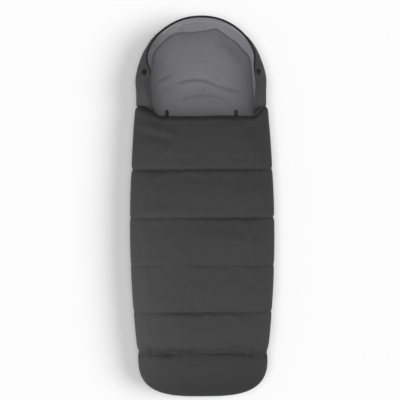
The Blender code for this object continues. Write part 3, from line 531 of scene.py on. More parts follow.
def flap_end(x):
    """The flap's upper edge, whose corners rise more gently on the left than on the right."""
    left, right = np.clip((-x - 0.103) / 0.063, 0, 1), np.clip((x - 0.1345) / 0.0335, 0, 1)
    rise = sum(0.6 * t + 0.4 * t * t * (3 - 2 * t) for t in (left, right))
    sag = 0.0012 * noise(x, 0, 0.045, 1, 17) * (1 - np.clip(rise * 3, 0, 1))
    return Y_FLAP + sag + (Y_CORNER - Y_FLAP) * rise


def mirrored(half, sign=1):
    """Values from the middle outwards, continued to the other side."""
    return np.concatenate((sign * half[:0:-1], half))


def cover_nets():
    """Outer and inner faces of the pad, and how firmly its sewing holds each point."""
    ys = [y for low, high in zip(SEAMS, SEAMS[1:]) for y in channel_ys(low, high)]
    ys[0] += 0.0002
    shares = [s / FLAP_LENGTH for s in NEAR_SEAM[1:]] + list(np.linspace(0.125, 0.93, 19))
    rows = [(y, 0.0) for y in ys] + [(Y_FOLD, s) for s in shares + [0.955, 0.975, 0.99, 1.0]]
    outer, inner, held = [], [], []
    for base_y, share in rows:
        plain_y = base_y + share * FLAP_LENGTH
        line, out = dome_line(side_half(plain_y))
        x, z = mirrored(line[:, 0], -1), mirrored(line[:, 1])
        nx, nz = mirrored(out[:, 0], -1), mirrored(out[:, 1])
        y = base_y + share * (flap_end(x) - Y_FOLD)
        above = y - Y_TOE
        q = np.abs(np.linspace(-1, 1, len(x)))
        across = 1 - smooth(0.5, 1.0, q)
        swell = np.full_like(x, swelling(plain_y))
        depth_here, nearest = seam_depth(x, y)
        if plain_y < Y_FOLD + 0.05:
            swell = 1 - depth_here * (1 - swell)
        fullness = 1 + 0.12 * noise(x, y, 0.07, 0.05, 3) + 0.05 * noise(x, y, 0.025, 0.02, 4)
        lift = PUFF * swell * across * fullness
        lift += SLACK * noise(x, y, 0.05, 0.028, 8) * (0.4 + 0.6 * swell) * across
        # Short puckers beside each seam, and longer gathers at the toe
        beside = np.exp(-nearest / PUCKER_REACH) * smooth(0, 0.004, nearest) * depth_here
        lift += PUCKER * noise(x, y, 0.0105, 0.03, 5) * beside * (0.35 + 0.65 * across)
        toe = np.exp(-np.abs(above) / GATHER_REACH) * smooth(0, 0.005, above)
        lift += GATHER * noise(x, y, 0.015, 0.04, 6) * toe * across
        lift -= toe_valley(x, y) * (0.25 + 0.75 * across)
        lift -= GROOVE * bell(nearest, GROOVE_WIDTH) * depth_here * smooth(0.004, 0.02, above)
        lift += folds_at(x, y, COVER_FOLDS) * (0.3 + 0.7 * across)
        # The flap's upper edge rolls over, and the sides draw in where they meet the toe box
        lift -= ROLL_OVER * max(0.0, (share - 0.93) / 0.07) ** 2
        drawn = DRAWN_IN * np.exp(-max(0.0, plain_y - Y_TOE) / 0.012) * smooth(0.7, 1, q)
        x = x - np.sign(x) * drawn * np.where(x < 0, 0.3, 1.0)
        y = y + seam_wave(x, above)
        outer.append(np.stack((x + nx * lift, y, z + nz * lift), 1))
        depth = PAD_EDGE + (PAD_MIDDLE + INNER_PUFF * swell) * across - np.minimum(lift, 0)
        inner.append(np.stack((x - nx * depth, y, z - nz * depth), 1))
        sewn = min(abs(plain_y - seam) for seam in SEAMS) < 0.0016 or share > 0.94
        held.append(np.full_like(x, float(sewn)))
    ease = np.concatenate(([1.0] * 4, np.linspace(0.9, 0.05, 9)))
    held = np.array(held)
    held[:, :13] = np.maximum(held[:, :13], ease)
    held[:, -13:] = np.maximum(held[:, -13:], ease[::-1])
    return np.array(outer), np.array(inner), held


def rim_between(name, a, b, reach=0.0):
    """The narrow strip between the edges of two matching nets, rounded towards +Y."""
    first, last = ([*net[0], *net[1:-1, -1], *net[-1, ::-1], *net[-2:0:-1, 0], net[0, 0]]
                   for net in (a, b))
    first, last = np.array(first), np.array(last)
    rows, columns = a.shape[:2]
    push = np.zeros_like(first)
    push[columns + rows - 2:2 * columns + rows - 2, 1] = reach
    middle = (first + last) / 2 + push
    return surface(name, strip(first, first * 0.3 + middle * 0.7, middle * 0.7 + last * 0.3, last))


def row_near(net, y):
    return int(np.argmin(np.abs(net[:, net.shape[1] // 2, 1] - y)))


outer, inner, held = cover_nets()
outer = swollen(outer, held)
cover = joined("quilted_cover", [surface("o", outer), surface("i", inner, True),
                                 rim_between("r", outer, inner, 0.0035)], [OUTER, LINING, OUTER])
subdivide(cover)
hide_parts("cover_shell", "cover_padding", "cover_lining",
            "flap_shell", "flap_padding", "flap_lining")
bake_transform(cover)

# Seam and hem threads, a little above the cloth
seam_lines = [outer[row_near(outer, s), 9:-9] + (0, 0, 0.0003) for s in SEAMS[1:]]
thread = paint(stitches("quilting_thread", seam_lines), THREAD)
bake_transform(thread)
hem = outer[row_near(outer, Y_FLAP - 0.0075), 6:-6] + (0, 0, 0.0004)
hem_thread = paint(stitches("flap_hem_thread", [hem]), THREAD)
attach(hem_thread, "flap")

# The piping of the flap's upper edge, and the lining that peeps out at its right corner
edge_path = evened(outer[-1, 3:-3] * 0.6 + inner[-1, 3:-3] * 0.4 + (0, 0.0022, 0), 110)
at_corner = (edge_path[:, 0] > 0.134) & (edge_path[:, 0] < 0.1665)
corner = evened(edge_path[at_corner] + (-0.0011, 0.0011, 0.0006), 24)
lining_edge = paint(sweep("flap_lining_edge", corner, 0.0007, 0.0007, 8), BAND)
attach(lining_edge, "flap")
# Painted shadow: the dark piping swells towards the left, standing in for the shadow gap under the
# wing
shadow_widened = 1 + 0.7 * smooth(0.095, 0.14, -edge_path[:, 0])
piping = paint(sweep("flap_piping", edge_path, 0.0013, 0.0013, 8, size=shadow_widened), TRIM)
subdivide(piping)
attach(piping, "flap")


# ---- toe box
# How far the toe box's sides are drawn in at its seam
TOE_DRAWN_LEFT, TOE_DRAWN_RIGHT = mm((-1, 3.4))
TOE_TUCK = 0.0002


def toe_net(shrink, floor, top, seam=None):
    """The toe box from its seam over the toes and back; the outer face follows the seam line."""
    wrinkled = seam is not None
    across, along = side_half(Y_TOE) - shrink, TOE_LENGTH - shrink
    theta = np.linspace(0, pi, 105)
    c = np.sign(np.cos(theta)) * np.abs(np.cos(theta)) ** (2 / TOE_POWER)
    s = np.abs(np.sin(theta)) ** (2 / TOE_POWER)
    seat = np.sin(np.linspace(0, pi / 2, 34)) ** 1.15

    def laid_out(share):
        """x, y, how far out it is to the rim, and the rim's height, along one row."""
        x, y = across * c, -along * share * s
        reach = (np.abs(x) / across) ** TOE_POWER + (np.abs(y) / along) ** TOE_POWER
        side = Z_SIDE - (Z_SIDE - Z_ZIP) * smooth(0.0, 0.06, -y)
        return x, y, np.minimum(reach ** (1 / TOE_POWER), 1), side

    def drawn_in(x, y):
        pull = np.where(x < 0, TOE_DRAWN_LEFT, TOE_DRAWN_RIGHT)
        return x - pull * np.exp(y / 0.014) * smooth(0.8, 1, np.abs(x) / across)

    rows = []
    for share in seat:
        x, y, reach, side = laid_out(share)
        z = side + (top - side) * (1 - reach ** COVER_POWER) ** (1 / COVER_POWER)
        if wrinkled:
            lift = 0.0075 * smooth(0, 0.03, -y) ** 0.7 * (1 - smooth(0.62, 1, reach))
            lift *= 1 + 0.12 * noise(x, y, 0.06, 0.05, 11)
            near = np.exp(y / GATHER_REACH) * smooth(0, 0.005, -y) * (1 - smooth(0.85, 1, reach))
            lift += GATHER * noise(x, y, 0.015, 0.05, 12) * near
            lift -= toe_valley(x, Y_TOE + y) * (0.25 + 0.75 * (1 - smooth(0.5, 1.0, reach)))
            lift += 0.0007 * noise(x, y, 0.04, 0.03, 13) * (1 - smooth(0.7, 1, reach))
            lift += folds_at(x, y + Y_TOE, TOE_FOLDS) * (1 - smooth(0.9, 1, reach))
            z = z + lift
            if share == 0:
                step = np.interp(x, seam[:, 0], seam[:, 2]) - z
            z = z + np.interp(x, across * c[::-1], step[::-1]) * bell(y, 0.01)
            x = drawn_in(x, y)
            y = y + seam_wave(x, y)
        rows.append(np.stack((x, Y_TOE - TOE_TUCK + y, z), 1))
    for share in seat[-2::-1]:
        x, y, reach, side = laid_out(share)
        inward = (1 - reach) * np.hypot(x, y) / np.maximum(reach, 1e-6)
        depth = np.clip(1 - np.where(reach < 0.02, along, inward) / 0.045, 0, 1)
        z = floor + (side - floor) * (1 - np.sqrt(1 - depth ** 2))
        if wrinkled:
            x = drawn_in(x, y)
        rows.append(np.stack((x, Y_TOE - TOE_TUCK + y, z), 1))
    return np.array(rows)


TOE_WALL, TOE_FLOOR, TOE_PAD, TOE_LEAST_PAD = mm((11, 13, 9, 6))
toe_outer = toe_net(0, 0, Z_SEAM, outer[0])
toe_inner = toe_net(TOE_WALL, TOE_FLOOR, Z_SEAM - TOE_PAD)
held = np.zeros(toe_outer.shape[:2])
held[0] = held[30:] = 1.0
held[:, :3] = held[:, -3:] = 1.0
toe_outer = swollen(toe_outer, held)
near = slice(0, 14), slice(6, -6), 2
toe_inner[near] = np.minimum(toe_inner[near], toe_outer[near] - TOE_LEAST_PAD)
toe = joined("toe_box", [surface("o", toe_outer), surface("i", toe_inner, True),
                         surface("s", strip(toe_outer[0], toe_inner[0])),
                         surface("f", strip(toe_outer[-1], toe_inner[-1]))],
             [SHADED_TOE_CLOTH, LINING, SHADED_TOE_CLOTH])
subdivide(toe)
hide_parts("toe_shell", "toe_padding", "toe_lining")
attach(toe, "bag")

# The strip of cloth in the toe seam, on which the cover turns: places along it and drops
TAPE_SECTION = mm(((-7.1, 2.2), (-5.1, 1.4), (-2.8, 0.7), (-0.6, 0.6), (1.6, 0.7), (5.4, 1.8),
                   (10.4, 4)))
gather = np.array([outer[0, 5:-5] + (0, dy, -drop) for dy, drop in TAPE_SECTION])
under = gather - (0, 0, 0.0012)
seam_tape = joined("toe_seam_tape", [surface("t", gather), surface("u", under, True),
                                     rim_between("r", gather, under)], [OUTER])
subdivide(seam_tape)
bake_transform(seam_tape)


# ---- back and hood
# The crease where the hood's inner wall meets the padded floor, a line of flats
CREASE = mm((
    (138.6, 215), (138.6, 234.8), (137, 276.5), (133.9, 328.7), (130.6, 375.7), (127.5, 387.5),
    (118.5, 400.6), (88.7, 432.1), (41.9, 464.4), (13.2, 461.2), (-54.7, 454.3), (-75.6, 449.5),
    (-94, 435.8), (-116.3, 416.4), (-123.4, 404.7), (-127.6, 387.7), (-133.1, 356.5),
    (-135.1, 319.9), (-132.7, 278.2), (-130, 234.8), (-130, 215)))
CREASE_FROM_ARCH = [(x, y - Y_ARCH) for x, y in CREASE]
# The wing's inner edge where the drawcord pulls it about: y and distance from the middle
EDGE_YS = mm((226, 240, 257, 277.5, 300, 315, 332, 349, 354, 366, 380))
EDGE_LEFT = mm((108, 117, 125.2, 131.8, 133, 134.5, 134, 130.3, 129.5, 132.5, 135.5))
EDGE_RIGHT = mm((135.4, 135.4, 136, 137, 138.2, 138.7, 138.2, 136.8, 136.3, 134.8, 132.8))
# Where folds run up the inner wall, seen from the middle of the arch
WALL_FOLDS = mm(((160, 200), (140, 100), (106, 140), (44, 178), (-56, 169), (-90, 150), (-123, 118),
                 (-138, 90), (-160, 20)))
FOLD_ANGLES = [atan2(y, x) for x, y in WALL_FOLDS]
LINE_COUNT = 28

# A station is (side, y) along the wings, and (0, angle) round the arch


def share_at(station):
    """1 along the wings, falling to 0 at the top of the arch."""
    side, where = station
    return 1.0 if side else (1 - sin(where)) ** 1.1


def radius_at(station):
    side, where = station
    return HOOD_HALF if side else super_radius(where, HOOD_HALF, ARCH_LENGTH, HEAD_POWER)


def recess_at(station):
    return HEAD_RECESS + (ZIP_RECESS - HEAD_RECESS) * share_at(station)


def placed(station, line):
    """Points (out, up) of a section set at a station."""
    side, where = station
    out, up = np.asarray(line, float).T
    if side:
        return np.stack((side * out, np.full_like(out, where), up), 1)
    return np.stack((out * cos(where), Y_ARCH + out * sin(where), up), 1)


def ray_hit(angle, line, slack=0.0):
    """Where a ray from the arch's middle meets a line: distance, corner before, share after."""
    ray = (cos(angle), sin(angle))
    for index, ((ax, ay), (bx, by)) in enumerate(zip(line, line[1:])):
        ex, ey = bx - ax, by - ay
        det = ray[0] * ey - ray[1] * ex
        if abs(det) > 1e-9:
            t = (ax * ey - ay * ex) / det
            u = (ax * ray[1] - ay * ray[0]) / det
            if t > 0 and -slack <= u <= 1 + slack:
                return t, index, u
    return None


def crease_at(station):
    """Distance out to the crease."""
    side, where = station
    if side:
        line = sorted((y, abs(x)) for x, y in CREASE if x * side > 0 and y < 0.385)
        return np.interp(where, *zip(*line))
    hit = ray_hit(where, CREASE_FROM_ARCH, 1e-6)
    return hit[0] if hit else 0.135


def tray_line(edge, corner, lift, floor):
    """Section of the back: floor, rounded corner and side, moved in by lift."""
    a = np.linspace(0, pi / 2, 24)
    x = edge - corner + (corner - lift * 0.75) * np.sin(a)
    z = floor + (Z_TRAY - floor) * (1 - np.cos(a))
    return evened(np.vstack(([(0, floor)], np.stack((x, z), 1))), 60)


def crease_point(station, edge, corner):
    """The crease's distance out, kept inside the back, and its height above the outer cloth."""
    out = min(crease_at(station), edge - 0.0085)
    lean = asin(min(1.0, max(0.0, (out - edge + corner) / corner)))
    return out, max(0.0125, Z_TRAY * (1 - cos(lean)) + 0.0055)


CROWN, CROWN_FALL, CREASE_DIP, CREASE_WIDTH = 0.037, 0.006, 0.0032, 0.0024
NEAR_CREASE = mm((7.5, 5, 3.4, 2.2, 1.2, 0))


def hood_floor(station, edge, corner):
    """Section of the hood's padded floor: crowned, low at the crease, then out of sight."""
    out, low = crease_point(station, edge, corner)
    share = share_at(station)
    hidden = np.linspace(out, edge - 0.0012, 8)[1:]
    r = np.concatenate((np.linspace(0, out - 0.011, 47), out - np.array(NEAR_CREASE), hidden))
    crown = CROWN - CROWN_FALL * share
    z = low + (crown - low) * (1 - np.minimum(r / out, 1) ** (3.4 + 3.6 * share))
    z -= CREASE_DIP * bell(out - r, CREASE_WIDTH)
    z[-len(hidden):] = np.linspace(low - 0.003, Z_TRAY - 0.002, 8)[1:]
    return np.stack((r, z), 1)


def edge_at(station):
    """The back's edge at a station, and the width of its rounded corner."""
    if station[0]:
        return side_half(station[1]) - ZIP_RECESS, 0.045
    return radius_at(station) - recess_at(station), 0.034 + 0.011 * share_at(station)


def back_net(lift, floor, padded=False):
    """One face of the back; inside the hood its padding swells and falls to the crease."""
    net = []
    ys = np.concatenate((np.arange(Y_TOE + 0.0006, Y_HOOD, 0.006), np.linspace(Y_HOOD, Y_ARCH, 15)))
    around = [(0, a) for a in np.linspace(0, pi, 73)[1:-1]]
    for station in [(1, y) for y in ys] + around + [(-1, y) for y in ys[::-1]]:
        edge, corner = edge_at(station)
        line = tray_line(edge, corner, lift, floor)
        if padded:
            under = smooth(0.205, 0.25, station[1]) if station[0] else 1.0
            line = line * (1 - under) + hood_floor(station, edge, corner) * under
        net.append(placed(station, line))
    return np.array(net)


ARCS = mm((
    ((-60.5, 317.9), (-39.6, 325.4), (-11, 327.6), (15, 323), (41, 311), (69.6, 303.5),
     (95.6, 295.5)),
    ((-54.1, 275.8), (-24.2, 285.3), (0.5, 287.8), (35.5, 285), (59, 274)),
    ((-125.6, 312), (-112.6, 323.8), (-94.3, 333.5), (-76, 337.8))))
# Each arc is a dip with a ridge below it: width and height of both
ARC_FORMS = mm(((5, -3.4, 9, 4), (5, -2.2, 9, 2.8), (4.5, -3.2, 8.5, 3.4)))
DIP_ABOVE, RIDGE_BELOW = mm((4, -7))
# Other soft folds of the lining: points, width, height
LINING_FOLDS = list(mm((
    (((55, 430), (81, 414), (108, 388)), 12, -2.4), (((-105, 300), (-100, 260)), 12, 1.4),
    (((30, 345), (85, 335)), 16, 1.4))))
for arc, (dip, deep, ridge, high) in zip(ARCS, ARC_FORMS):
    for step, width, height in ((DIP_ABOVE, dip, deep), (RIDGE_BELOW, ridge, high)):
        LINING_FOLDS.append(([(x, y + step) for x, y in arc], width, height))


def lining_relief(x, y):
    """The lining's slack: broad arcs across the back, and a few soft creases."""
    z = 0.001 * noise(x, y, 0.05, 0.04, 21) + 0.0004 * noise(x, y, 0.02, 0.016, 22)
    for points, width, height in LINING_FOLDS:
        away = np.min([distance(x, y, *a, *b) for a, b in zip(points, points[1:])], axis=0)
        ends = 1
        for x0, y0 in (points[0], points[-1]):
            ends = ends * smooth(0, 0.02, np.hypot(x - x0, y - y0) + 0.006)
        z += height * bell(away, width) * ends
    return z


back_out, back_in = back_net(0, 0), back_net(0.01, 0.013, padded=True)
inside = 1 - smooth(0.09, 0.125, np.abs(back_in[..., 0]))
back_in[..., 2] += lining_relief(back_in[..., 0], back_in[..., 1]) * inside
edges = [strip(back_out[:, -1], back_in[:, -1])] + [strip(back_out[k], back_in[k]) for k in (0, -1)]
back = joined("padded_back", [surface("s", net) for net in (back_out, back_in, *edges)],
              [OUTER, LINING, TRIM])
SLOTS = [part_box(name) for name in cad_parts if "slot" in name]


def cut_slots(obj):
    """Cut the harness slots through the back, just round their bindings."""
    bm = bmesh.new()
    for low, high in SLOTS:
        made = bmesh.ops.create_cube(bm, size=1)["verts"]
        size = Vector((high[0] - low[0] - 0.0008, high[1] - low[1] - 0.0008, 0.06))
        middle = Vector(((low[0] + high[0]) / 2, (low[1] + high[1]) / 2, 0.01))
        bmesh.ops.scale(bm, vec=size, verts=made)
        bmesh.ops.translate(bm, vec=middle, verts=made)
    mesh = bpy.data.meshes.new("cutter")
    bm.to_mesh(mesh)
    bm.free()
    cutter = added("cutter", mesh)
    cut = obj.modifiers.new("slots", "BOOLEAN")
    cut.operation, cut.solver, cut.object = "DIFFERENCE", "EXACT", cutter
    graph = bpy.context.evaluated_depsgraph_get()
    done = bpy.data.meshes.new_from_object(obj.evaluated_get(graph))
    obj.modifiers.clear()
    obj.data = done
    bpy.data.objects.remove(cutter)


# Section of a slot's lip: share of the way out, and how far below the lining
LIP_SECTION = ((0.97, 0.0014), (0.75, 0.001), (0.45, 0.0016), (0.16, 0.0026), (0.13, 0.0032),
               (0.45, 0.0028), (0.97, 0.0024))
PLAIN_LEVEL = 0.0138


def dress_slots():
    """A bound edge on the lining round each slot, and two lips that all but close it."""
    tree = BVHTree.FromPolygons([tuple(p) for p in back_in.reshape(-1, 3)], grid_quads(back_in))

    def level(x, y):
        hit = tree.ray_cast(Vector((x, y, 0.09)), Vector((0, 0, -1)))[0]
        return hit.z if hit else PLAIN_LEVEL

    edges, lips = [], []
    turns, places = np.linspace(0, 2 * pi, 97), np.linspace(-1, 1, 15)
    c, s = np.cos(turns), np.sin(turns)
    for low, high in SLOTS:
        low, high = np.array(low), np.array(high)
        middle, half = (low + high) / 2, (high - low) / 2 + 0.0006
        x = middle[0] + half[0] * np.sign(c) * np.abs(c) ** 0.35
        y = middle[1] + half[1] * np.sign(s) * np.abs(s) ** 0.35
        z = np.array([level(a, b) for a, b in zip(x, y)])
        loop = evened(np.stack((x, y, z + 0.0003), 1), 120)
        edges.append(sweep("edge", loop, 0.001, 0.0006, 8))
        long_y = half[1] > half[0]
        wide, reach = sorted(half[:2])

        def lip_point(out, along, down):
            step = (out * wide, along * reach)
            a, b = middle[:2] + (step if long_y else step[::-1])
            return a, b, level(a, b) - down

        for side in (-1, 1):
            net = [[lip_point(side * out, t, down) for out, down in LIP_SECTION] for t in places]
            lips.append(surface("lip", net))
    for title, made, material in (("slot_edges", edges, SLOT_EDGE), ("slot_lips", lips, LINING)):
        piece = joined(title, made, [material])
        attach(piece, "bag")


dress_slots()
cut_slots(back)
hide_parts("back_shell", "back_padding", "back_lining", "back_top_shell", "back_top_padding")
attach(back, "bag")

# The wall's section: a plain wall's height, how the wings roll in and up, how both lean
WALL_SHARES = (0, 0.2, 0.4, 0.58, 0.74, 1)
ROLL_IN = (0, 0, 0.06, 0.3, 0.7, 1)
ROLL_UP = (0, 0.33, 0.64, 0.84, 0.99, 0.9)
SIDE_LEAN = (1, 0.25, 0.02, 0, 0, 0)
TOP_LEAN = (1, 0.6, 0.3, 0.12, 0.04, 0)
RIM_RISE, TOP_FALL = 0.055, 0.014
# How the wall bulges out, at the arch and along the wings
BULGE_LEFT, BULGE_RIGHT = mm(((3.6, 1.4), (2.2, 0.8)))


def head_stations():
    """Stations from the right of the neck, round the head, to the left."""
    ys = [*np.linspace(0.226, 0.2525, 6), 0.2555, 0.2575, 0.2592, 0.2615, 0.266,
          *np.linspace(0.272, Y_ARCH, 6)]
    angles = list(np.linspace(0, pi, 97)[1:-1])
    for fold in FOLD_ANGLES[1:-1]:
        angles = [a for a in angles if abs(a - fold) > 0.016] + [fold - 0.012, fold, fold + 0.012]
    return [(1, y) for y in ys] + [(0, a) for a in sorted(angles)] + [(-1, y) for y in ys[::-1]]


def hood_line(station):
    """Outer face of the hood's wall, from the back's edge to its rim."""
    side, where = station
    share, radius, recess = share_at(station), radius_at(station), recess_at(station)
    left = side < 0 or (not side and cos(where) < 0)
    swell, more = BULGE_LEFT if left else BULGE_RIGHT
    radius += (swell * min(1.0, 6 * (1 - share)) + more) * smooth(0.03, 0.32, share)
    inset = 0.002 + 0.029 * share
    rim_y = where if side else Y_ARCH + (radius - inset) * sin(where)
    wanted = np.interp(rim_y, EDGE_YS, EDGE_LEFT if left else EDGE_RIGHT)
    reach = wanted if side else wanted / max(0.3, abs(cos(where)))
    inset += (radius - reach - inset) * (1 - smooth(0.35, 0.4, rim_y))
    rise = RIM_RISE - TOP_FALL * (1 - share)
    low = tuck = 0.0
    if side:
        low = 1 - np.interp(where, [0.226, 0.24, 0.252, 0.26, 0.275, 0.3],
                            [0.1, 0.38, 0.56, 0.7, 0.93, 1.0])
        tuck = 0.0125 * smooth(Y_HOOD + 0.0012, Y_HOOD - 0.0035, where)
    points = []
    for plain, roll_in, roll_up, by_side, by_top in zip(WALL_SHARES, ROLL_IN, ROLL_UP, SIDE_LEAN,
                                                        TOP_LEAN):
        lean = recess * (share * by_side + (1 - share) * by_top)
        points.append((radius - lean - inset * roll_in - tuck * (1 - roll_in),
                       Z_TRAY + rise * (share * roll_up + (1 - share) * plain) * (1 - low)))
    return through(points, LINE_COUNT)


EYELET_LONG, EYELET_WIDE = mm((6.8, 4.6))
EYELETS = [np.mean(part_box(f"eyelet_{side}"), axis=0) for side in ("left", "right")]


def facet_at(station):
    """How far in from a round wall its flats lie, and how deep the folds between them are."""
    side, where = station
    hit = None if side else ray_hit(where, WALL_FOLDS)
    if not hit:
        return 0.0, 0.0
    out, index, u = hit
    round_r = hypot(*WALL_FOLDS[index]) * (1 - u) + hypot(*WALL_FOLDS[index + 1]) * u
    nearest = min(abs(where - a) for a in FOLD_ANGLES)
    return 0.6 * max(0.0, round_r - out), 0.0014 * bell(nearest, 0.024)


def puckered(where, lift):
    """The wall's relief with the cloth gathered round both eyelets."""
    for centre in EYELETS:
        away = norm(where - centre, axis=1)
        turn = np.arctan2(where[:, 1] - centre[1], where[:, 0] - centre[0])
        lift = lift * (1 - bell(away, 0.008)) - 0.001 * bell(away, 0.006)
        lift += 0.0024 * bell(away - 0.0098, 0.0028) * (0.75 + 0.25 * np.sin(7 * turn))
    return lift


# Which of 40 points down the inner wall are kept: all near the crease, fewer above
INNER_ROWS = np.concatenate((np.arange(0, 9), np.linspace(9, 39, 23).round().astype(int)))[::-1]


def inner_wall(station, inner_line):
    """The hood's inner wall from its rim down to the crease, with its fold and its flats."""
    crease, height = crease_point(station, *edge_at(station))
    keep = inner_line[10:]
    rise = min(height + 0.0035, 0.5 * (height + keep[0][1]))
    low = np.array([(crease + 0.0012, height - 0.003), (crease - 0.0009, height - 0.0008),
                    (crease - 0.0009, height + 0.001), (crease + 0.0012, rise)])
    bend = (keep[0] + low[-1]) / 2
    full = through(np.vstack((low, [bend], keep[::3], keep[-1:])), 40)[INNER_ROWS]
    along = np.linspace(0, 1, len(full))
    # A soft fold runs round the inner wall below the rim
    full[:, 0] -= 0.003 * (1 - share_at(station)) ** 10 * bell(along - 0.2, 0.045)
    flat, fold = facet_at(station)
    full[:, 0] += fold * smooth(0.2, 0.45, along) * (1 - smooth(0.5, 0.68, along))
    full[:, 0] -= flat * np.sin(pi * np.clip(1.15 - along, 0, 1)) ** 1.5
    return full


def hood_nets():
    """The hood's outer wall and its inner one."""
    wall, lining = [], []
    run = np.linspace(0, 1, LINE_COUNT)
    thick = np.interp(run, [0, 0.4, 0.85, 1], [0.008, 0.008, 0.006, 0.003])
    for number, station in enumerate(head_stations()):
        line = hood_line(station)
        ahead = unit(np.gradient(line, axis=0))
        out = np.stack((ahead[:, 1], -ahead[:, 0]), 1)
        lift = 0.0007 * noise(number, run * 3, 4.3, 1, 31)
        lift = (lift + 0.0012 * noise(number, run * 1.5, 11.0, 1, 32)) * np.sin(run * pi)
        lift = puckered(placed(station, line), lift)
        wall.append(placed(station, line + out * lift[:, None]))
        lining.append(placed(station, inner_wall(station, line - out * thick[:, None])))
    return np.array(wall), np.array(lining)


hood_wall, hood_inside = hood_nets()
ends = []
for end in (0, -1):
    outside, lined = hood_wall[end], hood_inside[end]
    middle = (outside + lined[np.linspace(22, 0, LINE_COUNT).astype(int)]) / 2
    under = (lined + outside[np.linspace(LINE_COUNT - 1, 0, len(lined)).astype(int)]) / 2
    ends += [strip(outside, middle), strip(lined, under)]
brim = strip(hood_wall[:, -1], hood_inside[:, 0])
hood = joined("padded_hood", [surface("s", net) for net in (hood_wall, hood_inside, brim, *ends)],
              [OUTER, BAND, TRIM, OUTER])
subdivide(hood)
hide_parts("hood_shell", "hood_padding", "hood_lining")
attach(hood, "bag")

# Oval eyelets pressed into the cloth over the cord's mouths: size and rise round their section
RING_SECTION = ((1.0, -0.0008), (1.02, 0.0008), (0.93, 0.0018), (0.78, 0.0022), (0.62, 0.0019),
                (0.53, 0.001), (0.5, -0.0016))
for word, centre in zip(("left", "right"), EYELETS):
    nearest = np.argmin(norm(hood_wall.reshape(-1, 3) - centre, axis=1))
    row, column = divmod(int(nearest), LINE_COUNT)
    along = hood_wall[row + 2, column] - hood_wall[row - 2, column]
    out = unit(np.cross(along, hood_wall[row, column + 2] - hood_wall[row, column - 2]))
    out *= np.sign(out[2])
    along = unit(along)
    across = np.cross(out, along)
    net = []
    for turn in np.linspace(0, 2 * pi, 41):
        spread = along * EYELET_LONG * cos(turn) + across * EYELET_WIDE * sin(turn)
        net.append([centre + spread * size + out * rise for size, rise in RING_SECTION])
    eyelet = joined(f"oval_eyelet_{word}", [surface("ring", net)], [EYELET])
    subdivide(eyelet)
    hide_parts(f"eyelet_{word}")
    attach(eyelet, "bag")

# The drawcord runs in the middle of the hem and out at the eyelets, to a knot at each end
CORD_RADIUS, KNOT_FROM_END, KNOT_LENGTH, KNOT_SIZE = 0.0012, 0.0026, 0.0016, 1.1
CORD_TAIL = mm(((0, 0, -3), (0, 0, 2.2), (0, -3, 3.4), (0, -6.2, 3), (0, -8.2, 2.6),
                (0, -9.8, 2.4)))
hem_middle = (hood_wall[:, -5] + hood_inside[:, 5]) / 2
last, first = (int(np.argmin(norm(hem_middle - c, axis=1))) for c in EYELETS)
left_tail, right_tail = (c + np.array(CORD_TAIL) for c in EYELETS)
inside_hem = hem_middle[first + 2:last - 1:2]
cord_path = through(np.vstack((right_tail[::-1], inside_hem, left_tail)), 420)
bulge = sum(bell(norm(cord_path - end, axis=1) - KNOT_FROM_END, KNOT_LENGTH)
            for end in (cord_path[0], cord_path[-1]))
cord = sweep("drawcord", cord_path, CORD_RADIUS, CORD_RADIUS, 10, size=1 + KNOT_SIZE * bulge)
subdivide(paint(cord, CORD))
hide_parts("hood_drawcord")
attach(cord, "bag")

middle_rim = (hood_wall[:, -1] + hood_inside[:, 0]) / 2
rim_up = hood_wall[:, -1] - hood_wall[:, -4]
at_top = np.array([1 - share_at(station) for station in head_stations()])
binding = sweep("hood_binding", middle_rim, 0.0029, 0.0026, 12, rim_up,
                0.32 + 0.68 * smooth(0.08, 0.5, at_top))
subdivide(paint(binding, BINDING))
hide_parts("rim_binding")
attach(binding, "bag")
rim_line = hood_wall[5:-5, -4] + (0, 0, 0.0003)
rim_thread = paint(stitches("hood_rim_thread", [rim_line]), THREAD)
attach(rim_thread, "bag")

# ---- carried-over pieces
FINISHES = {"slot": SLOT_EDGE, "tape": TRIM, "coil": NYLON, "slider": METAL, "pull": METAL,
            "stop": METAL}
for name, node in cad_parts.items():
    for word, finish in FINISHES.items():
        if word in name:
            for material_slot in node.material_slots:
                material_slot.material = finish

# ---- floor, light and camera
FLOOR_BELOW = 0.0006
floor = mesh_object("floor", [(-6, -6, 0), (6, -6, 0), (6, 6, 0), (-6, 6, 0)], [(0, 1, 2, 3)])
floor.location.z = -FLOOR_BELOW
paint(floor, Nodes("floor_paint").finished({"Base Color": (0.93, 0.93, 0.93, 1), "Roughness": 0.9,
                                            "Specular IOR Level": 0.0}))


def linked(state, *objects):
    """A collection by which a lamp reaches only these objects, or with EXCLUDE all but these."""
    collection = bpy.data.collections.new("lit")
    for obj in objects:
        collection.objects.link(obj)
    for entry in collection.collection_objects:
        entry.light_linking.link_state = state
    return collection


def lamp(obj, direction, lit, shading=None):
    """Turn a lamp to shine from a direction on what it lights, shaded only by what may shade it."""
    obj.rotation_mode = "QUATERNION"
    obj.rotation_quaternion = Vector(direction).to_track_quat("Z", "Y")
    obj.light_linking.receiver_collection = lit
    if shading:
        obj.light_linking.blocker_collection = shading


OBJECT_LIT, FLOOR_LIT = linked("EXCLUDE", floor), linked("INCLUDE", floor)
HOOD_LIT, HOOD_ONLY = linked("INCLUDE", back, hood), linked("INCLUDE", hood)
BACK_ONLY, TOE_ONLY = linked("INCLUDE", back), linked("INCLUDE", toe)
NO_TOE, NO_COVER = linked("EXCLUDE", floor, toe), linked("EXCLUDE", cover, piping)
NO_HOOD = linked("EXCLUDE", hood, binding)
OPEN = linked("EXCLUDE", hood, binding, cover, piping)
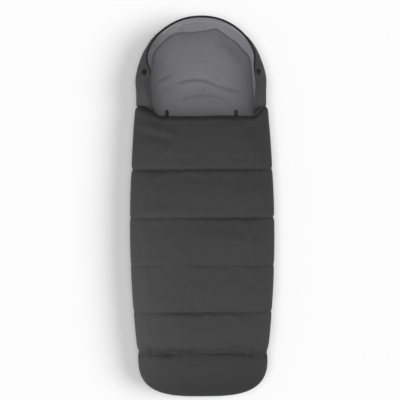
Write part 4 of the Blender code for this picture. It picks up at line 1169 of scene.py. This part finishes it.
# Distant lamps: name, direction, strength, degrees across, what they light and what shades them
for name, direction, strength, angle, *reach in (
        ("left_bank", (-1, 0, 0.8), 0.165, 50, OBJECT_LIT),
        ("right_bank", (1, 0, 0.8), 0.24, 50, OBJECT_LIT),
        ("overhead", (0, -0.45, 1), 0.35, 80, NO_TOE),
        ("toe_overhead", (0, 0.15, 1), 0.33, 80, TOE_ONLY),
        ("wing_left", (-1, 0, 0.7), 0.3, 50, HOOD_ONLY),
        ("wing_right", (1, 0, 0.7), 0.245, 50, HOOD_ONLY),
        ("hood_fill", (0, -0.35, 1), 0.05, 70, HOOD_LIT, NO_COVER),
        ("lining_fill", (0, -0.65, 1), 0.26, 50, BACK_ONLY, OPEN),
        ("lining_top", (0, -0.1, 1), 0.16, 50, BACK_ONLY, NO_HOOD),
        ("floor_side", (1, 0, 1), 0.57, 36, FLOOR_LIT),
        ("floor_overhead", (-0.08, 0, 1), 0.51, 36, FLOOR_LIT)):
    data = bpy.data.lights.new(name, "SUN")
    data.energy, data.angle = strength * pi, radians(angle)
    lamp(added(name, data), direction, *reach)
# Two soft lamps low at the sides
for word, side, power in (("left", -1, 3.4), ("right", 1, 1.5)):
    data = bpy.data.lights.new(f"low_{word}", "AREA")
    data.shape, data.size, data.energy = "DISK", 0.5, power
    disk = added(f"low_{word}", data)
    disk.location = (side * 0.62, -0.4, 0.46)
    lamp(disk, (side * 0.47, -0.16, 0.37), OBJECT_LIT)
world = bpy.data.worlds.new("studio")
bpy.context.scene.world = world
world.use_nodes = True
background = world.node_tree.nodes["Background"]
background.inputs["Color"].default_value = (1, 1, 1, 1)
background.inputs["Strength"].default_value = 0.14

CAMERA_PLACE = (-0.0052, 0.0165, 4.0)
CAMERA_ROLL = radians(-0.35)
METRES_A_PIXEL = 6.5446e-4      # for each metre below the camera
IMAGE_SIDE, SENSOR = 400, 36
camera_data = bpy.data.cameras.new("camera")
camera_data.sensor_width = SENSOR
camera_data.lens = SENSOR / (METRES_A_PIXEL * IMAGE_SIDE)
camera = added("camera", camera_data)
camera.location = CAMERA_PLACE
camera.rotation_euler = (0, 0, CAMERA_ROLL)
bpy.context.scene.camera = camera
bpy.context.scene.view_settings.view_transform = "Standard"

bpy.context.view_layer.update()
